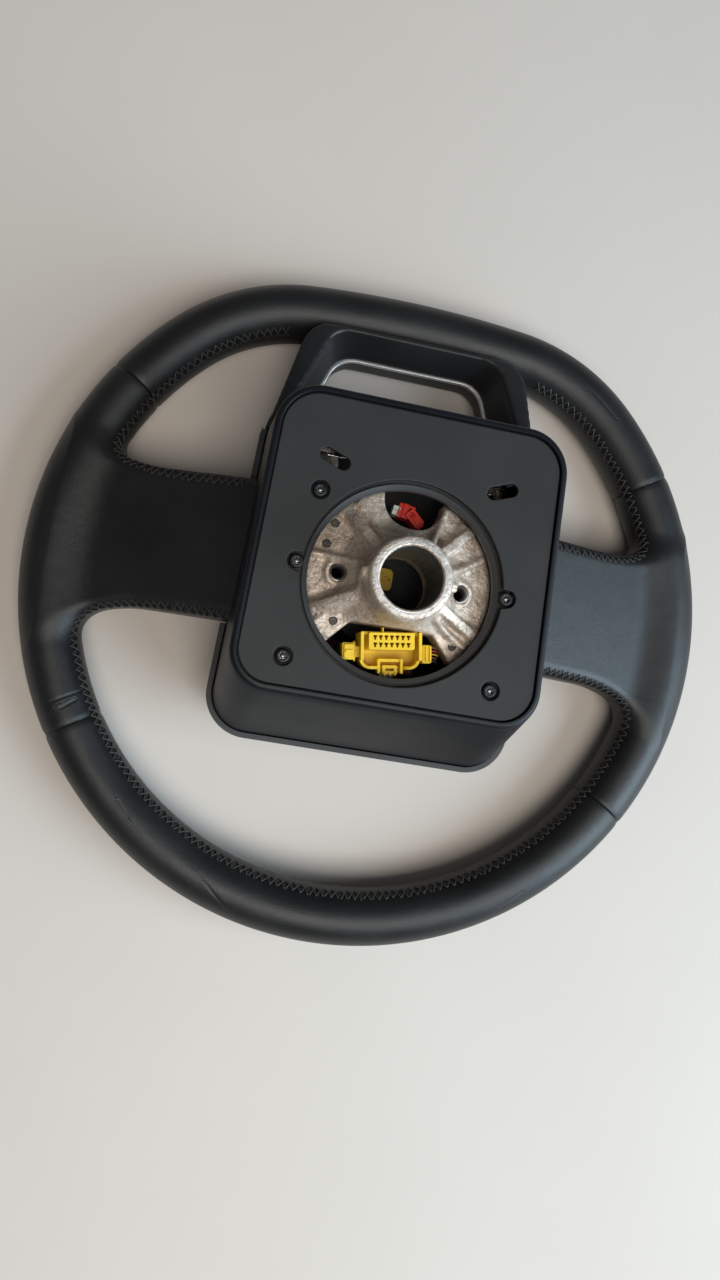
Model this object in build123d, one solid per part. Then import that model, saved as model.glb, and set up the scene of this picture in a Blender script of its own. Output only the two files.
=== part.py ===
from build123d import *
import os
from math import atan2, cos, degrees, hypot, radians, sin, sqrt

# A car steering wheel lying face down. The origin is the centre of the hub bore's mouth, +Z runs along the
# steering axis towards the column, +Y points to 12 o'clock and +X to the driver's left.
# Millimetres. Heights are measured from the rim's middle plane towards the column.
BOSS_HEIGHT = 117.0

# Rim: a round grip, flattened at 6 o'clock, of leather over foam over a steel core
RIM_RADIUS = 172.5
RIM_FLAT_DROP = 17.4
RIM_FLAT = RIM_RADIUS - RIM_FLAT_DROP
RIM_FLAT_RADIUS = 600.0
RIM_CORNER_RADIUS = 101.0
RIM_HALF_WIDTH = 15.5
RIM_HALF_DEPTH = 17.0
LEATHER = 1.2
LEATHER_FIT = 0.05
CORE_RADIUS = 4.5
CORE_FIT = 0.05
SEAM_HIGH_ANGLE = 32.2
SEAM_LOW_ANGLE = -32.6
SEAM_GAP = 0.5
SEAM_PAST_ANGLE = 1.0

# Side spokes: flat padded arms that rise from the rim to the housing
SPOKE_LOW = -47.5
SPOKE_HIGH = 26.5
SPOKE_ROOT_X = 71.0
SPOKE_ROOT_FRONT = 16.0
SPOKE_ROOT_BACK = 45.0
SPOKE_TIP_INSET = 9.5
SPOKE_TIP_X = RIM_RADIUS - SPOKE_TIP_INSET
SPOKE_TIP_FRONT = -11.5
SPOKE_TIP_BACK = 11.5
SPOKE_FLARE_LENGTH = 26.0
SPOKE_FLARE_X = SPOKE_TIP_X - SPOKE_FLARE_LENGTH
SPOKE_FLARE_START = 0.125
SPOKE_FLARE_LOW = 10.5
SPOKE_FLARE_HIGH = 19.5
SPOKE_EDGE_SHARE = 0.27

# Rear housing: a flared box, and the flat plate set into its lip
LIP_HEIGHT = 95.5
LIP_LOW_HALF = 69.4
LIP_HIGH_HALF = 73.2
LIP_LOW = -83.4
LIP_HIGH = 58.6
LIP_LOW_RADIUS = 21.0
LIP_HIGH_RADIUS = 19.0
LIP_ROUND = 2.0
LIP_WIDTH = 3.0
HOUSING_FRONT = 30.5
HOUSING_FLARE_LOW = 8.0
HOUSING_FLARE_HIGH = 22.0
HOUSING_FLARE_SIDE = 4.4
HOUSING_WALL = 2.8
PLATE_SINK = 1.0
PLATE_THICK = 2.6
PLATE_GROOVE = 0.7
BACK_WALL = 2.5
BACK_WALL_OPENING = 53.0
PLATE_OPENING = 47.8
PLATE_EDGE = 0.8
SPOKE_CLEARANCE = 0.6

# Slots for releasing the airbag, and the screws of the plate
SLOT_X = 40.0
SLOT_Y = -51.0
SLOT_LENGTH = 15.0
SLOT_WIDTH = 6.4
SLOT_TURN = 20.0
SLOT_MARGIN = 1.0
SLOT_CUT_PAST = 3.0
SCREW_X = 48.6
SCREW_Y = 42.0
CORNER_SCREW_X = 44.4
CORNER_SCREW_Y = -35.7
SCREW_CUP = 4.4
SCREW_HEAD = 3.4
SCREW_HEAD_HEIGHT = 2.0
SCREW_HEAD_EDGE = 0.65
SCREW_SHANK = 1.9
SCREW_LENGTH = 9.0
SCREW_SOCKET = 1.7
SCREW_SOCKET_DEPTH = 1.2
SCREW_FIT = 0.05
SCREW_BOSS = 4.2

# Hub collar: tapered ring that lines the plate's opening
COLLAR_TOP_RADIUS = 47.2
COLLAR_FLANGE_RADIUS = 52.4
COLLAR_FLANGE = 2.9
COLLAR_LIP_RADIUS = 43.8
COLLAR_LIP_HEIGHT = 89.6
COLLAR_BOTTOM = 87.0
COLLAR_WALL = 2.2
COLLAR_SCREW_X = 49.6
COLLAR_SCREW_Y = -1.6

# Hub casting: boss, ribbed web, arms and airbag ears
BORE_RADIUS = 14.2
BOSS_RADIUS = 18.6
BOSS_FOOT_RADIUS = 19.6
BOSS_FOOT = 103.0
BOSS_CHAMFER = 0.6
WEB_RADIUS = 45.6
WEB_INNER_RADIUS = 31.0
WEB_INNER_BACK = 85.0
WEB_EDGE_BACK = 81.5
WEB_FRONT = 71.0
WEB_FILLET = 24.0
NOTCH_X = -1.5
NOTCH_Y = -41.0
NOTCH_RADIUS = 14.2
CUT_Y = 20.3
CUT_HALF = 19.5
CUT_SPREAD = 0.9
RIB_WIDTH = 5.0
RIB_ANGLES = (-46.0, -134.0, 24.0, 156.0)
RIB_FOOT_BACK = 100.0
RIB_EDGE_BACK = 85.0
RIB_END_GAP = 1.0
PULLER_X = 29.3
PULLER_Y = -1.0
PULLER_PAD = 6.4
PULLER_BACK = 86.0
PULLER_HOLE = 3.2
LUG_SIZE = 4.6
LUG_BACK = 112.0
LUG_DEPTH = 14.0
ARM_LOW = -27.0
ARM_HIGH = 7.0
ARM_HALF = 4.2
ARM_WEB_X = 36.0
ARM_WEB_BACK = 78.0
ARM_SPOKE_SHARE = 0.62
ARM_KNEE_GAP = 6.3
LEG_ARM_WIDTH = 3.6
LEG_ARM_DEPTH = 10.0
LEG_ARM_X = 64.0
LEG_ARM_Y = -87.0
LEG_ARM_HEIGHT = 16.0
LEG_ARM_RIM_X = 50.0
LEG_ARM_FIT = 0.15
LEG_GAP_WIDTH = 21.6
LEG_GAP_DEPTH = 7.0

# 6 o'clock spoke loop and its bright trim
LOOP_BAR_INSET = 10.5
LOOP_RIM_HALF = 59.3
LOOP_CORNER_RADIUS = 20.0
LOOP_ROOT_HALF = 71.7
LOOP_ROOT_Y = -82.0
LOOP_FRONT = -13.0
LOOP_BAR_BACK = 17.0
LOOP_WINDOW_BACK = 25.0
LOOP_ROOT_BACK = 37.0
LOOP_FIT = 0.3
WINDOW_RIM_GAP = 15.1
WINDOW_TOP = WINDOW_RIM_GAP - RIM_FLAT
WINDOW_HALF = 44.5
WINDOW_SPREAD = 0.375
WINDOW_RADIUS = 15.0
WINDOW_TAPER = 9.2
WINDOW_SIDE_TAPER = 4.0
WINDOW_OPEN_Y = -60.0
TRIM_HEIGHT = 4.0
TRIM_THICK = 3.0
TRIM_WIDTH = 1.6
TRIM_PROUD = 0.5

# Airbag module: cover, tray, bag, inflator, pins and springs; it slides when the horn is pressed
HORN_TRAVEL = 2.5
HORN_CLEARANCE = 1.0
COVER_OVERHANG = 3.6
COVER_FRONT = -9.0
COVER_TAPER = 6.0
COVER_WALL = 2.8
COVER_SKIN = 3.2
COVER_LEDGE = 3.0
COVER_ROUND = 6.0
TRAY_HEIGHT = 20.0
TRAY_THICK = 1.6
TRAY_GAP = 0.6
TRAY_LOW_HALF = 50.0
TRAY_HIGH_HALF = 56.0
TRAY_RADIUS = 12.0
TRAY_RIM = 5.0
BAG_LENGTH = 104.0
BAG_WIDTH = 112.0
BAG_RADIUS = 20.0
BAG_Y = -6.0
BAG_CLEARANCE = 0.3
INFLATOR_RADIUS = 29.5
INFLATOR_FRONT = 8.0
INFLATOR_BACK = 44.0
INFLATOR_FLANGE = 44.0
INFLATOR_FLANGE_THICK = 2.0
INFLATOR_FIT = 0.4
STUD_SPACING = 27.0
STUD_RADIUS = 2.5
STUD_LENGTH = 11.0
STUD_FIT = 0.3
NUT_RADIUS = 4.6
NUT_HEIGHT = 4.0
NUT_FIT = 0.05
PLUG_X = 6.0
PLUG_Y = -6.0
PLUG_LENGTH = 15.0
PLUG_WIDTH = 11.0
PLUG_HEIGHT = 7.0
PLUG_LATCH = 2.1
PLUG_BOSS_RADIUS = 5.0
PLUG_BOSS_HEIGHT = 3.0
PIN_LOW_X = 43.0
PIN_LOW_Y = -59.0
PIN_HIGH_X = 42.0
PIN_HIGH_Y = 46.0
PIN_RADIUS = 3.6
PIN_FIT = 0.5
PIN_FOOT = 6.0
PIN_FOOT_THICK = 1.4
PIN_HEAD = 6.0
EAR_RADIUS = 8.5
EAR_FRONT = 48.0
EAR_BACK = 53.0
EAR_BAR = 8.0
EAR_BAR_REACH = 6.8
EAR_LOW_SHARE = 0.62
EAR_HIGH_SHARE_X = 0.74
EAR_HIGH_SHARE_Y = 0.5
SPRING_RADIUS = 5.4
SPRING_WIRE = 0.65
SPRING_TURNS = 3.5
SPRING_GAP = 0.1
LOCK_WIRE = 0.9
LOCK_FIT = 0.3
LOCK_HALF = 52.0
GROOVE_RADIUS = 2.4

# Switch pods on the fronts of the spokes
POD_SPOKE_SHARE = 41 / 92
POD_X = SPOKE_ROOT_X + POD_SPOKE_SHARE * (SPOKE_TIP_X - SPOKE_ROOT_X)
POD_Y = -10.5
POD_LENGTH = 48.0
POD_WIDTH = 50.0
POD_RADIUS = 10.0
POD_PROUD = 1.5
POD_EDGE = 1.2
POD_DEPTH = 8.6
POD_TOP_WALL = 2.5
POD_SIDE_WALL = 3.0
POD_LEDGE = 1.5
POD_FIT = 0.3
BOARD_THICK = 1.6
BOARD_FIT = 0.2
BUTTON_FIT = 0.35
BUTTON_PROUD = 1.0
BUTTON_EDGE = 0.7
BUTTON_TRAVEL = 0.8
BUTTON_FLANGE = 0.9
BUTTON_FLANGE_THICK = 1.0
BUTTON_GAP = 0.1
BUTTON_STEM = 1.5
BUTTON_RADIUS = 2.5
WIDE_BUTTON_LENGTH = 30.0
WIDE_BUTTON_WIDTH = 9.0
WIDE_BUTTON_Y = 16.5
TALL_BUTTON_LENGTH = 8.0
TALL_BUTTON_WIDTH = 17.0
TALL_BUTTON_X = 16.0
ROLLER_RADIUS = 4.2
ROLLER_HALF = 5.0
ROLLER_SINK = 1.5
ROLLER_GAP = 0.5
ROLLER_GROOVES = 14
ROLLER_GROOVE = 0.55
AXLE_RADIUS = 1.25
AXLE_FIT = 0.05
AXLE_END_GAP = 0.2
BEARING_GAP = 0.6
BEARING_THICK = 2.8
BEARING_HALF = 2.8

# Wiring pieces that show through the hub's opening
CONNECTOR_X = 0.5
CONNECTOR_Y = 30.2
CONNECTOR_TURN = 8.8
CONNECTOR_LENGTH = 32.0
CONNECTOR_WIDTH = 14.0
CONNECTOR_BACK = 85.0
CONNECTOR_WALL = 1.6
CONNECTOR_WELL = 9.0
PIN_FACE_LENGTH = 25.0
PIN_FACE_WIDTH = 8.0
PIN_FACE_BACK = 90.0
PIN_COLUMNS = 7
PIN_PITCH = 2.9
PIN_ROW_PITCH = 3.6
PIN_SLIT_WIDTH = 0.6
PIN_SLIT_LENGTH = 1.1
PIN_HOLE = 1.3
PIN_HOLE_DEPTH = 3.0
CONNECTOR_FOOT_LENGTH = 58.0
CONNECTOR_FOOT_WIDTH = 6.0
CONNECTOR_FOOT_THICK = 2.0
GUARD_THICK = 1.4
GUARD_BACK = 88.5
WING_LENGTH = 6.5
WING_STEP = 1.6
WING_WIDTH = 8.0
WING_HEIGHT = 4.0
WING_BACK = 88.0
SMALL_WING_LENGTH = 4.5
SMALL_WING_WIDTH = 5.6
LOCK_SLIDE_LENGTH = 10.0
LOCK_SLIDE_WIDTH = 4.4
LOCK_SLIDE_HEIGHT = 9.0
RED_PLUG_X = -1.0
RED_PLUG_Y = -39.0
RED_PLUG_TURN = -35.0
RED_PLUG_LENGTH = 13.0
RED_PLUG_WIDTH = 6.0
RED_PLUG_HEIGHT = 9.0
RED_PLUG_RADIUS = 1.0
RED_HEAD_LENGTH = 7.5
RED_HEAD_WIDTH = 7.0
RED_TAB_LENGTH = 6.0
RED_TAB_REACH = 5.0
CLIP_LENGTH = 4.0
CLIP_WIDTH = 5.0
CLIP_HEIGHT = 6.0
HARNESS_RADIUS = 1.5
HARNESS_BEND = 6.0
HARNESS_Y = 12.0
HARNESS_RUN_X = 57.0
HARNESS_RUN_HEIGHT = 40.0
HARNESS_CHANNEL_FIT = 0.3

PAST = 30.0


def up(height):
    """Model Z of a height above the rim's middle plane."""
    return height - BOSS_HEIGHT


def block(sketch, low, high):
    """A plan sketch extruded between two heights."""
    return Pos(0, 0, up(low)) * extrude(sketch, high - low)


def mirrored(shape):
    """The same piece on the driver's right."""
    return mirror(shape, about=Plane.YZ)


# Rim

CORNER_REACH = RIM_RADIUS - RIM_CORNER_RADIUS
FLAT_CENTRE_Y = RIM_FLAT_RADIUS - RIM_FLAT
FLAT_REACH = RIM_FLAT_RADIUS - RIM_CORNER_RADIUS
CORNER_Y = (CORNER_REACH**2 - FLAT_REACH**2 + FLAT_CENTRE_Y**2) / (2 * FLAT_CENTRE_Y)
CORNER_X = sqrt(CORNER_REACH**2 - CORNER_Y**2)
ROUND_END = degrees(atan2(CORNER_Y, CORNER_X))
FLAT_END = degrees(atan2(CORNER_Y - FLAT_CENTRE_Y, CORNER_X))


def round_path(start, end):
    """Centre line of the grip's round part between two angles in degrees."""
    return CenterArc((0, 0, up(0)), RIM_RADIUS, start, end - start)


def low_path(start):
    """Centre line of the grip from an angle on its round part, past 6 o'clock, to the mirror image."""
    left = (CORNER_X, CORNER_Y, up(0))
    right = (-CORNER_X, CORNER_Y, up(0))
    corner = FLAT_END - ROUND_END
    runs = [
        round_path(start, ROUND_END),
        CenterArc(left, RIM_CORNER_RADIUS, ROUND_END, corner),
        CenterArc((0, FLAT_CENTRE_Y, up(0)), RIM_FLAT_RADIUS, FLAT_END, -180 - 2 * FLAT_END),
        CenterArc(right, RIM_CORNER_RADIUS, -180 - FLAT_END, corner),
        round_path(-180 - ROUND_END, -180 - start),
    ]
    return Wire([run.edge() for run in runs])


def rim_run(section, path):
    """A stretch of the rim: a section carried along a centre line."""
    tangent = path % 0
    plane = Plane(origin=path @ 0, x_dir=(tangent.Y, -tangent.X, 0), z_dir=tangent)
    return sweep(plane * section, path)


def whole_rim(section):
    """The closed rim of one section."""
    return rim_run(section, low_path(90))


def grip_section(inset):
    """The grip's oval section, smaller by an inset."""
    return Ellipse(RIM_HALF_WIDTH - inset, RIM_HALF_DEPTH - inset)


def spoke_height(x, root, tip):
    """Height of a straight line from the spoke's root to its tip."""
    return root + (x - SPOKE_ROOT_X) * (tip - root) / (SPOKE_TIP_X - SPOKE_ROOT_X)


def spoke_section(x, low, high, inset):
    """The spoke's rounded section at a distance from the axis."""
    front = spoke_height(x, SPOKE_ROOT_FRONT, SPOKE_TIP_FRONT) + inset
    back = spoke_height(x, SPOKE_ROOT_BACK, SPOKE_TIP_BACK) - inset
    middle = (x, (low + high) / 2, up((front + back) / 2))
    plane = Plane(origin=middle, x_dir=(0, 1, 0), z_dir=(1, 0, 0))
    return plane * RectangleRounded(high - low - 2 * inset, back - front, SPOKE_EDGE_SHARE * (back - front))


def spoke(inset, past=0.0):
    """The left spoke's padded form, smaller by an inset and longer at its root by past."""
    middle_x = (SPOKE_ROOT_X + SPOKE_FLARE_X) / 2
    flare_low = SPOKE_LOW - SPOKE_FLARE_START * SPOKE_FLARE_LOW
    flare_high = SPOKE_HIGH + SPOKE_FLARE_START * SPOKE_FLARE_HIGH
    stations = [
        spoke_section(SPOKE_ROOT_X - past, SPOKE_LOW, SPOKE_HIGH, inset),
        spoke_section(middle_x, SPOKE_LOW, SPOKE_HIGH, inset),
        spoke_section(SPOKE_FLARE_X, flare_low, flare_high, inset),
        spoke_section(SPOKE_TIP_X, SPOKE_LOW - SPOKE_FLARE_LOW, SPOKE_HIGH + SPOKE_FLARE_HIGH, inset),
    ]
    return loft(stations)


# Switch pods, in a frame of their own: x along the spoke, z out of its front face

POD_SLOPE = (SPOKE_TIP_FRONT - SPOKE_ROOT_FRONT) / (SPOKE_TIP_X - SPOKE_ROOT_X)
POD_PLANE = Plane(
    origin=(POD_X, POD_Y, up(spoke_height(POD_X, SPOKE_ROOT_FRONT, SPOKE_TIP_FRONT))),
    x_dir=(1, 0, POD_SLOPE),
    z_dir=(POD_SLOPE, 0, -1),
)
POD_CEILING = POD_PROUD - POD_TOP_WALL
BOARD_TOP = BOARD_THICK - POD_DEPTH


def pod_block(length, width, radius, low, high, x=0.0, y=0.0):
    """A rounded block in the pod's own frame."""
    return Pos(x, y, low) * extrude(RectangleRounded(length, width, radius), high - low)


def pod_pocket():
    """The pocket that takes the pod in the spoke."""
    grown = 2 * POD_FIT
    pocket = pod_block(POD_LENGTH + grown, POD_WIDTH + grown, POD_RADIUS + POD_FIT, -POD_DEPTH - POD_FIT, PAST)
    return POD_PLANE * pocket


BUTTON_PLACES = {
    "button_high": (0.0, -WIDE_BUTTON_Y, WIDE_BUTTON_LENGTH, WIDE_BUTTON_WIDTH),
    "button_low": (0.0, WIDE_BUTTON_Y, WIDE_BUTTON_LENGTH, WIDE_BUTTON_WIDTH),
    "button_inner": (-TALL_BUTTON_X, 0.0, TALL_BUTTON_LENGTH, TALL_BUTTON_WIDTH),
    "button_outer": (TALL_BUTTON_X, 0.0, TALL_BUTTON_LENGTH, TALL_BUTTON_WIDTH),
}


def pod_base():
    """Moulded pod: a rounded frame with button openings, a roller slot and the roller's bearings."""
    base = pod_block(POD_LENGTH, POD_WIDTH, POD_RADIUS, -POD_DEPTH, POD_PROUD)
    base = fillet(base.faces().sort_by(Axis.Z)[-1].edges(), POD_EDGE)
    hollow = 2 * POD_SIDE_WALL
    inner_radius = POD_RADIUS - POD_SIDE_WALL
    base -= pod_block(POD_LENGTH - hollow, POD_WIDTH - hollow, inner_radius, BOARD_TOP, POD_CEILING)
    seat = hollow - 2 * POD_LEDGE
    base -= pod_block(POD_LENGTH - seat, POD_WIDTH - seat, inner_radius + POD_LEDGE, -POD_DEPTH, BOARD_TOP)
    for x, y, length, width in BUTTON_PLACES.values():
        base -= pod_block(length, width, BUTTON_RADIUS, POD_CEILING, POD_PROUD, x, y)
    slot_length = 2 * (ROLLER_HALF + ROLLER_GAP)
    slot_width = 2 * (ROLLER_RADIUS + ROLLER_GAP)
    base -= Pos(0, 0, POD_CEILING) * extrude(Rectangle(slot_length, slot_width), POD_TOP_WALL)
    for side in (-1, 1):
        bearing_middle = side * (ROLLER_HALF + BEARING_GAP + BEARING_THICK / 2)
        bearing_low = -ROLLER_SINK - BEARING_HALF
        bearing_block = Rectangle(BEARING_THICK, 2 * BEARING_HALF)
        base += Pos(bearing_middle, 0, bearing_low) * extrude(bearing_block, POD_CEILING - bearing_low)
    reach = ROLLER_HALF + BEARING_GAP + BEARING_THICK
    bearing = Plane(origin=(-reach, 0, -ROLLER_SINK), z_dir=(1, 0, 0)) * Circle(AXLE_RADIUS + AXLE_FIT)
    base -= extrude(bearing, 2 * reach)
    return POD_PLANE * base


def pod_board():
    """Circuit board seated on the pod's inner ledge."""
    loss = 2 * (POD_SIDE_WALL - POD_LEDGE + BOARD_FIT)
    radius = POD_RADIUS - POD_SIDE_WALL + POD_LEDGE - BOARD_FIT
    return POD_PLANE * pod_block(POD_LENGTH - loss, POD_WIDTH - loss, radius, -POD_DEPTH, BOARD_TOP)


def pod_button(x, y, length, width):
    """Button cap with a keeper flange under the pod's face and a stem down to the board."""
    loss = 2 * BUTTON_FIT
    flange_top = POD_CEILING - BUTTON_GAP
    flange_low = flange_top - BUTTON_FLANGE_THICK
    cap_top = POD_PROUD + BUTTON_PROUD
    cap = pod_block(length - loss, width - loss, BUTTON_RADIUS - BUTTON_FIT, flange_low, cap_top, x, y)
    cap = fillet(cap.faces().sort_by(Axis.Z)[-1].edges(), BUTTON_EDGE)
    grown = 2 * BUTTON_FLANGE
    cap += pod_block(length + grown, width + grown, BUTTON_RADIUS + BUTTON_FLANGE, flange_low, flange_top, x, y)
    stem_low = BOARD_TOP + BUTTON_TRAVEL + BUTTON_GAP
    cap += Pos(x, y, stem_low) * extrude(Circle(BUTTON_STEM), flange_low - stem_low)
    return POD_PLANE * cap


def pod_roller():
    """Grooved thumb roller with its axle."""
    profile = Circle(ROLLER_RADIUS)
    profile -= PolarLocations(ROLLER_RADIUS, ROLLER_GROOVES) * Circle(ROLLER_GROOVE)
    drum = Plane(origin=(-ROLLER_HALF, 0, -ROLLER_SINK), z_dir=(1, 0, 0)) * profile
    roller = extrude(drum, 2 * ROLLER_HALF)
    reach = ROLLER_HALF + BEARING_GAP + BEARING_THICK - AXLE_END_GAP
    axle = Plane(origin=(-reach, 0, -ROLLER_SINK), z_dir=(1, 0, 0)) * Circle(AXLE_RADIUS)
    roller += extrude(axle, 2 * reach)
    return POD_PLANE * roller


# Plans of the housing and the airbag cover

def outline(half_low, half_high, low, high, radius_low, radius_high, grow=0.0):
    """Four-sided plan with rounded corners, grown or shrunk evenly."""
    corners = [
        (-half_low - grow, low - grow),
        (half_low + grow, low - grow),
        (half_high + grow, high + grow),
        (-half_high - grow, high + grow),
    ]
    plan = make_face(Polyline(*corners, close=True))
    plan = fillet(plan.vertices().sort_by(Axis.Y)[:2], radius_low + grow)
    return fillet(plan.vertices().sort_by(Axis.Y)[-2:], radius_high + grow)


def lip_plan(grow):
    """Plan of the housing at its lip."""
    return outline(LIP_LOW_HALF, LIP_HIGH_HALF, LIP_LOW, LIP_HIGH, LIP_LOW_RADIUS, LIP_HIGH_RADIUS, grow)


def front_plan(grow):
    """Plan of the housing at its front edge."""
    half_low = LIP_LOW_HALF + HOUSING_FLARE_SIDE / 2
    half_high = LIP_HIGH_HALF + HOUSING_FLARE_SIDE
    low = LIP_LOW - HOUSING_FLARE_LOW
    high = LIP_HIGH + HOUSING_FLARE_HIGH
    return outline(half_low, half_high, low, high, LIP_LOW_RADIUS, LIP_HIGH_RADIUS, grow)


def housing_form(grow):
    """The housing's flared outer form, grown evenly."""
    front = Pos(0, 0, up(HOUSING_FRONT)) * front_plan(grow)
    lip = Pos(0, 0, up(LIP_HEIGHT)) * lip_plan(grow)
    return loft([front, lip], ruled=True)


PLATE_BACK = LIP_HEIGHT - PLATE_SINK
PLATE_FRONT = PLATE_BACK - PLATE_THICK
BACK_WALL_FRONT = PLATE_FRONT - BACK_WALL
SCREW_PLACES = [(SCREW_X, SCREW_Y), (-SCREW_X, SCREW_Y)]
COLLAR_SCREW_PLACES = [(COLLAR_SCREW_X, COLLAR_SCREW_Y), (-COLLAR_SCREW_X, COLLAR_SCREW_Y)]
CORNER_SCREW_PLACE = (CORNER_SCREW_X, CORNER_SCREW_Y)


def slot_plan(margin):
    """The two angled access slots."""
    slot = SlotOverall(SLOT_LENGTH + 2 * margin, SLOT_WIDTH + 2 * margin)
    left = Pos(SLOT_X, SLOT_Y) * Rot(0, 0, -SLOT_TURN) * slot
    right = Pos(-SLOT_X, SLOT_Y) * Rot(0, 0, SLOT_TURN) * slot
    return left + right


def rear_housing():
    """Flared box with a back wall under the plate, screw bosses and cut-outs for the spokes."""
    shell = housing_form(0)
    shell = fillet(shell.faces().sort_by(Axis.Z)[-1].edges(), LIP_ROUND)
    cavity = housing_form(-HOUSING_WALL)
    cavity -= block(Rectangle(8 * PAST, 8 * PAST), BACK_WALL_FRONT, LIP_HEIGHT + PAST)
    shell -= cavity
    shell -= block(lip_plan(-LIP_WIDTH), PLATE_FRONT, LIP_HEIGHT + PAST)
    for x, y in [*SCREW_PLACES, CORNER_SCREW_PLACE]:
        boss = block(Circle(SCREW_BOSS), PLATE_FRONT - SCREW_LENGTH, BACK_WALL_FRONT)
        shell += Pos(x, y) * boss
        shell -= Pos(x, y) * block(Circle(SCREW_SHANK + SCREW_FIT), PLATE_FRONT - SCREW_LENGTH, PLATE_FRONT)
    opening = Circle(BACK_WALL_OPENING) + slot_plan(SLOT_MARGIN)
    shell -= block(opening, BACK_WALL_FRONT - SLOT_CUT_PAST, PLATE_FRONT)
    mouth_back = SPOKE_ROOT_BACK + SPOKE_CLEARANCE
    mouth_width = SPOKE_HIGH - SPOKE_LOW + 2 * SPOKE_CLEARANCE
    mouth = RectangleRounded(4 * PAST, mouth_width, SPOKE_CLEARANCE)
    for side in (-1, 1):
        middle = Pos(side * (SPOKE_ROOT_X + PAST), (SPOKE_HIGH + SPOKE_LOW) / 2)
        shell -= block(middle * mouth, HOUSING_FRONT - PAST, mouth_back)
    return shell


def rear_plate():
    """Flat plate set into the lip, with the hub opening, two slots and the screw cups."""
    plate = block(lip_plan(-LIP_WIDTH - PLATE_GROOVE), PLATE_FRONT, PLATE_BACK)
    plate -= block(Circle(PLATE_OPENING), PLATE_FRONT, PLATE_BACK)
    for x, y in [*SCREW_PLACES, *COLLAR_SCREW_PLACES, CORNER_SCREW_PLACE]:
        plate -= Pos(x, y) * block(Circle(SCREW_CUP), PLATE_FRONT, PLATE_BACK)
    plate -= block(slot_plan(0), PLATE_FRONT, PLATE_BACK)
    slot_bevel = Plane.XY.offset(up(PLATE_BACK)) * slot_plan(PLATE_EDGE)
    plate -= extrude(slot_bevel, -PLATE_EDGE, taper=45)
    return plate


def hub_collar():
    """Tapered ring under the plate, with a flange that the collar screws clamp."""
    flange_front = PLATE_FRONT - COLLAR_FLANGE
    points = [
        (COLLAR_TOP_RADIUS, PLATE_FRONT),
        (COLLAR_FLANGE_RADIUS, PLATE_FRONT),
        (COLLAR_FLANGE_RADIUS, flange_front),
        (COLLAR_LIP_RADIUS + COLLAR_WALL, flange_front),
        (COLLAR_LIP_RADIUS + COLLAR_WALL, COLLAR_BOTTOM),
        (COLLAR_LIP_RADIUS, COLLAR_BOTTOM),
        (COLLAR_LIP_RADIUS, COLLAR_LIP_HEIGHT),
    ]
    profile = make_face(Polyline(*[(r, 0, up(h)) for r, h in points], close=True))
    collar = revolve(profile, Axis.Z)
    for x, y in COLLAR_SCREW_PLACES:
        collar -= Pos(x, y) * block(Circle(SCREW_SHANK + SCREW_FIT), flange_front, PLATE_FRONT)
    return collar


def screw(place, length):
    """Pan-head screw with a socket, seated at the plate's front face."""
    x, y = place
    head = block(Circle(SCREW_HEAD), PLATE_FRONT, PLATE_FRONT + SCREW_HEAD_HEIGHT)
    head = fillet(head.faces().sort_by(Axis.Z)[-1].edges(), SCREW_HEAD_EDGE)
    socket_low = PLATE_FRONT + SCREW_HEAD_HEIGHT - SCREW_SOCKET_DEPTH
    head -= block(RegularPolygon(SCREW_SOCKET, 6), socket_low, PLATE_BACK)
    return Pos(x, y) * (head + block(Circle(SCREW_SHANK), PLATE_FRONT - length, PLATE_FRONT))


# Hub casting

def bar(start, end, width, depth):
    """Straight cast bar of a rectangular section between two points given as x, y and height."""
    tail = Vector(start[0], start[1], up(start[2]))
    head = Vector(end[0], end[1], up(end[2]))
    run = head - tail
    sideways = Vector(-run.Y, run.X, 0).normalized()
    plane = Plane(origin=tail, x_dir=sideways, z_dir=run)
    return extrude(plane * Rectangle(width, depth), run.length)


def side_arm():
    """Left arm from the web down through the spoke to the rim core."""
    def middle(x):
        front = spoke_height(x, SPOKE_ROOT_FRONT, SPOKE_TIP_FRONT)
        back = spoke_height(x, SPOKE_ROOT_BACK, SPOKE_TIP_BACK)
        return front + ARM_SPOKE_SHARE * (back - front)
    knee_x = SPOKE_ROOT_X - ARM_KNEE_GAP
    knee = middle(knee_x)
    web_middle = (WEB_FRONT + ARM_WEB_BACK) / 2
    steep = hypot(knee_x - ARM_WEB_X, web_middle - knee) / (knee_x - ARM_WEB_X) * ARM_HALF
    end_x = RIM_RADIUS - CORE_RADIUS
    end = middle(end_x)
    points = [
        (ARM_WEB_X, WEB_FRONT),
        (ARM_WEB_X, ARM_WEB_BACK),
        (ARM_WEB_X + ARM_HALF, ARM_WEB_BACK),
        (knee_x + ARM_HALF, middle(knee_x + ARM_HALF) + ARM_HALF),
        (end_x, end + ARM_HALF),
        (end_x, end - ARM_HALF),
        (knee_x, knee - ARM_HALF),
        (knee_x - ARM_HALF, knee - ARM_HALF + steep - ARM_HALF),
    ]
    profile = make_face(Polyline(*[(x, ARM_LOW, up(h)) for x, h in points], close=True))
    return extrude(profile, ARM_HIGH - ARM_LOW, dir=(0, 1, 0))


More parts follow.
